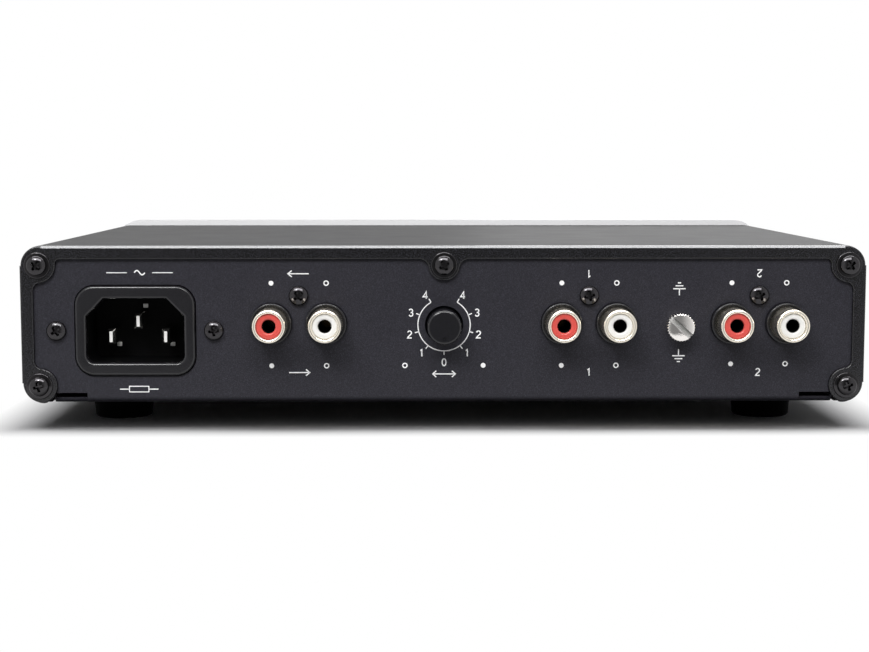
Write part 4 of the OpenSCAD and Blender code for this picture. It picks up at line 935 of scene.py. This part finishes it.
# %% Volume knob
knob_back, knob_front = high("volume_knob").y, low("volume_knob").y
length = knob_back - knob_front
bush_r, bore_rim, dish_r, dish_deep = 5, 11, 11, 0.6
volume_edge = arc((11.7, length - 0.8), 0.8, 0, 90, 15)
dish = [(r, length - dish_deep + (r / dish_r) ** 2 * dish_deep) for r in (11, 9, 7, 5, 3, 1)]
volume_profile = [(bush_r, 0), (bush_r, length - 3), (bore_rim, length - 3), (bore_rim, 0)]
volume_profile += [(12.42, 0), (12.5, 0.08), *volume_edge, *dish]
volume_profile += [(0, length - dish_deep), (0, length - 2), (3.02, length - 2), (3.02, 0)]
volume_mesh = lathe_mesh(volume_profile, (volume.x, knob_back, volume.z), -1, 128)
groove_floor = knob_front + 0.65
groove = ((0.8, 6), (0.8, 6), knob_front - 0.5, groove_floor, (volume.x, volume.z + 10.5))
volume_mesh = cut(volume_mesh, [tapered_box(*groove)])
cap = piece("volume_cap", volume_mesh, "turned_alloy", ["volume_knob"], "volume_control")


def in_groove(centre, normal):
    return normal.y < -0.9 and abs(centre.y - groove_floor) < 0.02 and centre.z > volume.z + 6


refinish(cap, "black_moulding", in_groove)
print("volume knob at", round(volume.x, 1), "length", round(length, 1))

# %% Headphone ring, buttons and lights
phones_profile = [(4.64, 0), (6.4, 0), *arc((5.7, 0.7), 0.7, 0, 90, 15), (4.9, 1.4), (4.64, 1.2)]
phones_mesh = lathe_mesh(phones_profile, (phones.x, face_low.y, phones.z), -1)
piece("headphone_bezel", phones_mesh, "nickel", ["headphone_ring"])
cap_face = [(0, 0.12), (2.5, 0.08), (4.0, 0.0), (4.2, 0.04), (4.4, 0.18), (4.5, 0.45)]
for name in ("power_button", "selector_button"):
    front_y, place = low(name).y, middle(name)
    cap_len, whole = pocket_high.y - 2 - front_y, high(name).y - front_y
    profile = [*cap_face, (4.5, cap_len), (5.6, cap_len), (5.6, cap_len + 1), (1.45, cap_len + 1)]
    profile += [(1.45, whole), (0, whole)]
    cap_mesh = lathe_mesh(profile, (place.x, front_y, place.z))
    piece(name + "_cap", cap_mesh, "turned_alloy", [name], name)
led_len = led_high.y - led_low.y
led_profile = [(0, 0), (0.8, 0.03), (1.25, 0.12), (1.5, 0.4), (1.5, led_len), (0, led_len)]
led_meshes = [lathe_mesh(led_profile, (x, led_low.y, case_mid), steps=32) for x in lights]
piece("front_lights", joined(led_meshes), "led_lens", ["status_leds"])
print("front pieces done")

# %% [markdown]
# ## Feet
#
# Four rubber feet lift the case by six millimetres. Each is a short drum with a recess for its screw.

# %% Feet
foot_profile = [(1.7, 6.28), (1.7, 3.2), (3.4, 3.2), (3.4, 0.3), (3.7, 0)]
foot_profile += [(7.0, 0), (7.35, 0.25), (7.5, 0.7), (8, 6.28)]
for name in ("foot_front_left", "foot_front_right", "foot_rear_left", "foot_rear_right"):
    centre = tuple(middle(name).xy)
    foot_rings = [[(x, y, z) for x, y in circle(centre, radius)] for radius, z in foot_profile]
    piece(name + "_pad", loft_mesh(foot_rings, closed=True), "foot_rubber", [name])

# %% [markdown]
# ## Printed marks
#
# The wall is printed with generic marks: a dial with plain numbers, dots for the right channel and rings for
# the left, numbers and arrows for the pairs of sockets, and common signs for earth, alternating current and
# a fuse. Each line is a thin strip of ink on the wall. The viewer's right is -X, so the digits are turned.

# %% Strokes of ink
ink = []
ink_back, ink_front = wall_face - 0.02, wall_face + 0.02


def blot(outline, holes=()):
    ink.append(plate_mesh(outline, holes, ink_back, ink_front, 0))


def dot(x, z):
    blot(circle((x, z), 0.62, 32))


def hoop(x, z):
    blot(circle((x, z), 0.7, 48), [circle((x, z), 0.4, 48)])


def stroke(points, width=0.28):
    """An open line of ink through points, given as (x, z) from the floor."""
    path = [Vector(p) for p in points]
    left, right = [], []
    for k, here in enumerate(path):
        before = (here - path[k - 1]).normalized() if k else Vector((0, 0))
        after = (path[k + 1] - here).normalized() if k + 1 < len(path) else Vector((0, 0))
        along = (before + after).normalized()
        bend = max(0.5, along.dot(after if after.length else before))
        across = Vector((-along.y, along.x)) * (width / 2 / bend)
        left.append(tuple(here + across))
        right.append(tuple(here - across))
    blot(left + right[::-1])


def arrow_head(tip_x, barb_x, z):
    stroke([(barb_x, z + 0.8), (tip_x, z), (barb_x, z - 0.8)])


# %% Digits, as strokes in a box of height 1
zero_turns = [math.pi * n / 12 for n in range(25)]
digit_lines = {
    "0": [[(0.27 * math.sin(t), 0.5 + 0.5 * math.cos(t)) for t in zero_turns]],
    "1": [[(-0.16, 0.84), (-0.02, 0.9), (0.08, 1.0), (0.08, 0.0)]],
    "2": [[*arc((0, 0.72), 0.27, 165, -35, 20), (-0.2, 0.16), (-0.28, 0.0), (0.3, 0.0)]],
    "3": [[*arc((-0.01, 0.75), 0.24, 160, -80, 20), *arc((-0.01, 0.26), 0.27, 80, -160, 20)]],
    "4": [[(0.13, 0.0), (0.13, 1.0), (-0.32, 0.28), (0.32, 0.28)]],
}
digit_h = 1.8


def digit(text, x, z, upright=True):
    """A number whose middle is at (x, z); upright=False turns it upside down."""
    size = digit_h if upright else -digit_h
    for line in digit_lines[text]:
        stroke([(x - a * size, z + (b - 0.5) * size) for a, b in line], 0.3)


# %% The balance dial
dial_r, tick_r, tick_turn = 6.67, 7.7, 37.5
dial_end = 149


def dial_point(radius, degrees):
    """Degrees clockwise from straight down, as the viewer sees it."""
    turn = math.radians(degrees)
    return (knob_x + radius * math.sin(turn), knob_z - radius * math.cos(turn))


hoop_points = [dial_point(dial_r, a) for a in range(-dial_end, dial_end + 1, 4)]
ends = [dial_point(dial_r, s * (dial_end + 0.5)) for s in (-1, 1)]
stroke([ends[0], *hoop_points[1:-1], ends[1]], 0.26)
for k in range(-4, 5):
    stroke([dial_point(dial_r, tick_turn * k), dial_point(tick_r, tick_turn * k)])
for text, dx, dz in (("4", 4.77, 7.6), ("3", 8.43, 3.16), ("2", 8.8, -2.44), ("1", 5.8, -7.2)):
    for side in (-1, 1):
        digit(text, knob_x + side * dx, knob_z + dz)
digit("0", knob_x, knob_z - 9.6)
print("dial:", len(ink), "strokes")

# %% Marks of the sockets
for number, (label, x) in enumerate(zip(pair_names, pairs)):
    below = -10.3 if label == "mc" else -10.65
    for dz in (below, 10.5):
        dot(x + aside, case_mid + dz)
        hoop(x - aside, case_mid + dz)
    for dz, upright in ((-12.4, True), (12.9, False)):
        z, way = case_mid + dz, 1 if upright else -1
        if number:
            digit(str(number), x, z, upright)
        else:
            stroke([(x - 2.6 * way, z), (x + 2.6 * way, z)])
            arrow_head(x - 2.7 * way, x - 1.7 * way, z)
dot(knob_x - 10, case_mid - 10.6)
hoop(knob_x + 10, case_mid - 10.6)
arrow_z = case_mid - 12.8
stroke([(knob_x - 2.8, arrow_z), (knob_x + 2.8, arrow_z)])
for s in (-1, 1):
    arrow_head(knob_x + s * 2.9, knob_x + s * 2.0, arrow_z)
print("with the sockets' marks:", len(ink), "strokes")

# %% Common signs: earth, alternating current, fuse
for z, way in ((case_mid - 8.2, 1), (case_mid + 9.0, -1)):
    stroke([(ground_x, z + 1.7 * way), (ground_x, z)])
    for k, half in enumerate((1.6, 1.0, 0.4)):
        stroke([(ground_x - half, z - 0.75 * k * way), (ground_x + half, z - 0.75 * k * way)])
wave_x, wave_z = inlet_x - 1.3, case_mid + 13.2
wave_steps = [n / 4 - 3 for n in range(25)]
stroke([(wave_x + 0.45 * a, wave_z + 0.55 * math.sin(a * math.pi / 3)) for a in wave_steps], 0.3)
for s in (-1, 1):
    stroke([(wave_x + s * 3.2, wave_z), (wave_x + s * 8.4, wave_z)], 0.22)
fuse = (inlet_x - 0.7, case_mid - 16.6)
blot(round_box(5.2, 1.7, 0.2, fuse), [round_box(4.7, 1.2, 0.1, fuse)])
for start, stop in ((-5.6, -3.2), (1.8, 4.2)):
    stroke([(inlet_x + start, fuse[1]), (inlet_x + stop, fuse[1])], 0.26)
piece("wall_print", joined(ink), "print_white")
print("print:", len(ink), "strokes of ink")

# %% [markdown]
# ## The studio
#
# The object stands on a pale floor. The rear frame's bevel mirrors the long box straight overhead, which also
# lights the floor. The key over the viewer's head lights the rear wall, a small one beside it gives the
# screws their sparks, and a low one beyond the fascia tints the top. The key and the spark leave the floor
# out, so that the shadow under the case stays deep.


# %% Soft boxes
def soft_box(name, place, aim, width, height, power):
    lamp = bpy.data.lights.new(name, "AREA")
    lamp.shape = "RECTANGLE"
    lamp.size, lamp.size_y, lamp.energy = width, height, power
    made = in_scene(name, lamp)
    made.location = place
    towards = Vector(aim) - Vector(place)
    made.rotation_euler = towards.to_track_quat("-Z", "Y").to_euler()
    return made


soft_box("overhead_box", (0.0, -0.07, 0.85), (0.0, -0.07, 0), 1.3, 0.36, 8.5)
key = soft_box("key_box", (0.10, 0.64, 0.64), (0, 0.06, 0.02), 0.95, 0.36, 8.3)
spark = soft_box("spark_box", (0.26, 0.66, 0.54), (0, 0.07, 0.026), 0.14, 0.14, 1.4)
soft_box("far_box", (-0.40, -0.66, 0.16), (-0.08, 0, 0.05), 0.8, 0.2, 0.6)

# %% [markdown]
# The world is white for the camera. Mirror and glass rays see that white too, except towards the viewer's
# side, where a studio is darker: that is what the glossy blacks mirror. The world sheds only a faint light.


# %% Rays that look at the surroundings
def looking_rays(tree):
    """One for camera rays, and one for camera, mirror and glass rays."""
    rays = add_node(tree, "ShaderNodeLightPath").outputs
    seeing = maths(tree, "MAXIMUM", rays["Is Camera Ray"], rays["Is Glossy Ray"])
    return rays["Is Camera Ray"], maths(tree, "MAXIMUM", seeing, rays["Is Transmission Ray"])


# %% World
world = bpy.data.worlds.new("studio")
bpy.context.scene.world = world
world.use_nodes = True
tree = world.node_tree
axes = axes_of(tree, "Generated")
shed = ramp(tree, axes["Z"], 0.0, 0.8, 0.0, 0.14)
room = ramp(tree, maths(tree, "ABSOLUTE", axes["X"]), 0.15, 0.6, 0.22, 0.9)
backdrop = ramp(tree, axes["Y"], 0.0, 0.3, 1.0, room)
from_camera, looking = looking_rays(tree)
shown = {0: looking, 2: shed, 3: backdrop}
shown = add_node(tree, "ShaderNodeMix", shown, data_type="FLOAT").outputs[0]
strength = maths(tree, "MAXIMUM", shown, from_camera)
plug(tree, tree.nodes["Background"], {"Strength": strength, "Color": (1, 1, 1, 1)})
print("world ready")

# %% [markdown]
# The floor keeps the shadow near the object. Within a few millimetres of the case it fades, for rays that
# look, into the white of the world, so no horizon shows. It ends about 80 mm past the rear frame, because
# the glossy blacks would mirror more of it.

# %% The floor's material
fade = 0.012
floor_material, tree, shader = new_material("studio_floor")
plug(tree, shader, {"Base Color": (0.78, 0.78, 0.79, 1), "Roughness": 0.9, "Specular IOR Level": 0.2})
glow = add_node(tree, "ShaderNodeEmission", {"Color": (1, 1, 1, 1), "Strength": 1.0})
axes = axes_of(tree)
outward = []
for axis, case_half in (("X", 0.1075), ("Y", 0.075)):
    past = maths(tree, "SUBTRACT", maths(tree, "ABSOLUTE", axes[axis]), case_half)
    outward.append(maths(tree, "MAXIMUM", past))
far = ramp(tree, length_of(tree, outward), 0.0, fade, 0.0, 1.0)
whiter = maths(tree, "MULTIPLY", far, looking_rays(tree)[1])
blend = add_node(tree, "ShaderNodeMixShader", {0: whiter, 1: shader.outputs[0], 2: glow.outputs[0]})
plug(tree, tree.nodes["Material Output"], {"Surface": blend.outputs[0]})
print("floor fades over", fade / MM, "mm")

# %% Floor
floor_half, floor_end = 4, 0.15
floor_bm = bmesh.new()
bmesh.ops.create_grid(floor_bm, x_segments=8, y_segments=8, size=floor_half)
for corner in floor_bm.verts:
    corner.co.y = min(corner.co.y, floor_end)
bmesh.ops.remove_doubles(floor_bm, verts=floor_bm.verts, dist=1e-6)
floor_mesh = mesh_of(floor_bm)
floor_mesh.materials.append(floor_material)
floor = in_scene("studio_floor", floor_mesh)
unlit_by_key = bpy.data.collections.new("unlit_by_key")
unlit_by_key.objects.link(floor)
unlit_by_key.collection_objects[0].light_linking.link_state = "EXCLUDE"
for lamp in (key, spark):
    lamp.light_linking.receiver_collection = unlit_by_key
print("floor ready")

# %% [markdown]
# ## The view transform
#
# The view transform is Standard, so that a colour renders as it is written.

# %% View transform
bpy.context.scene.view_settings.view_transform = "Standard"
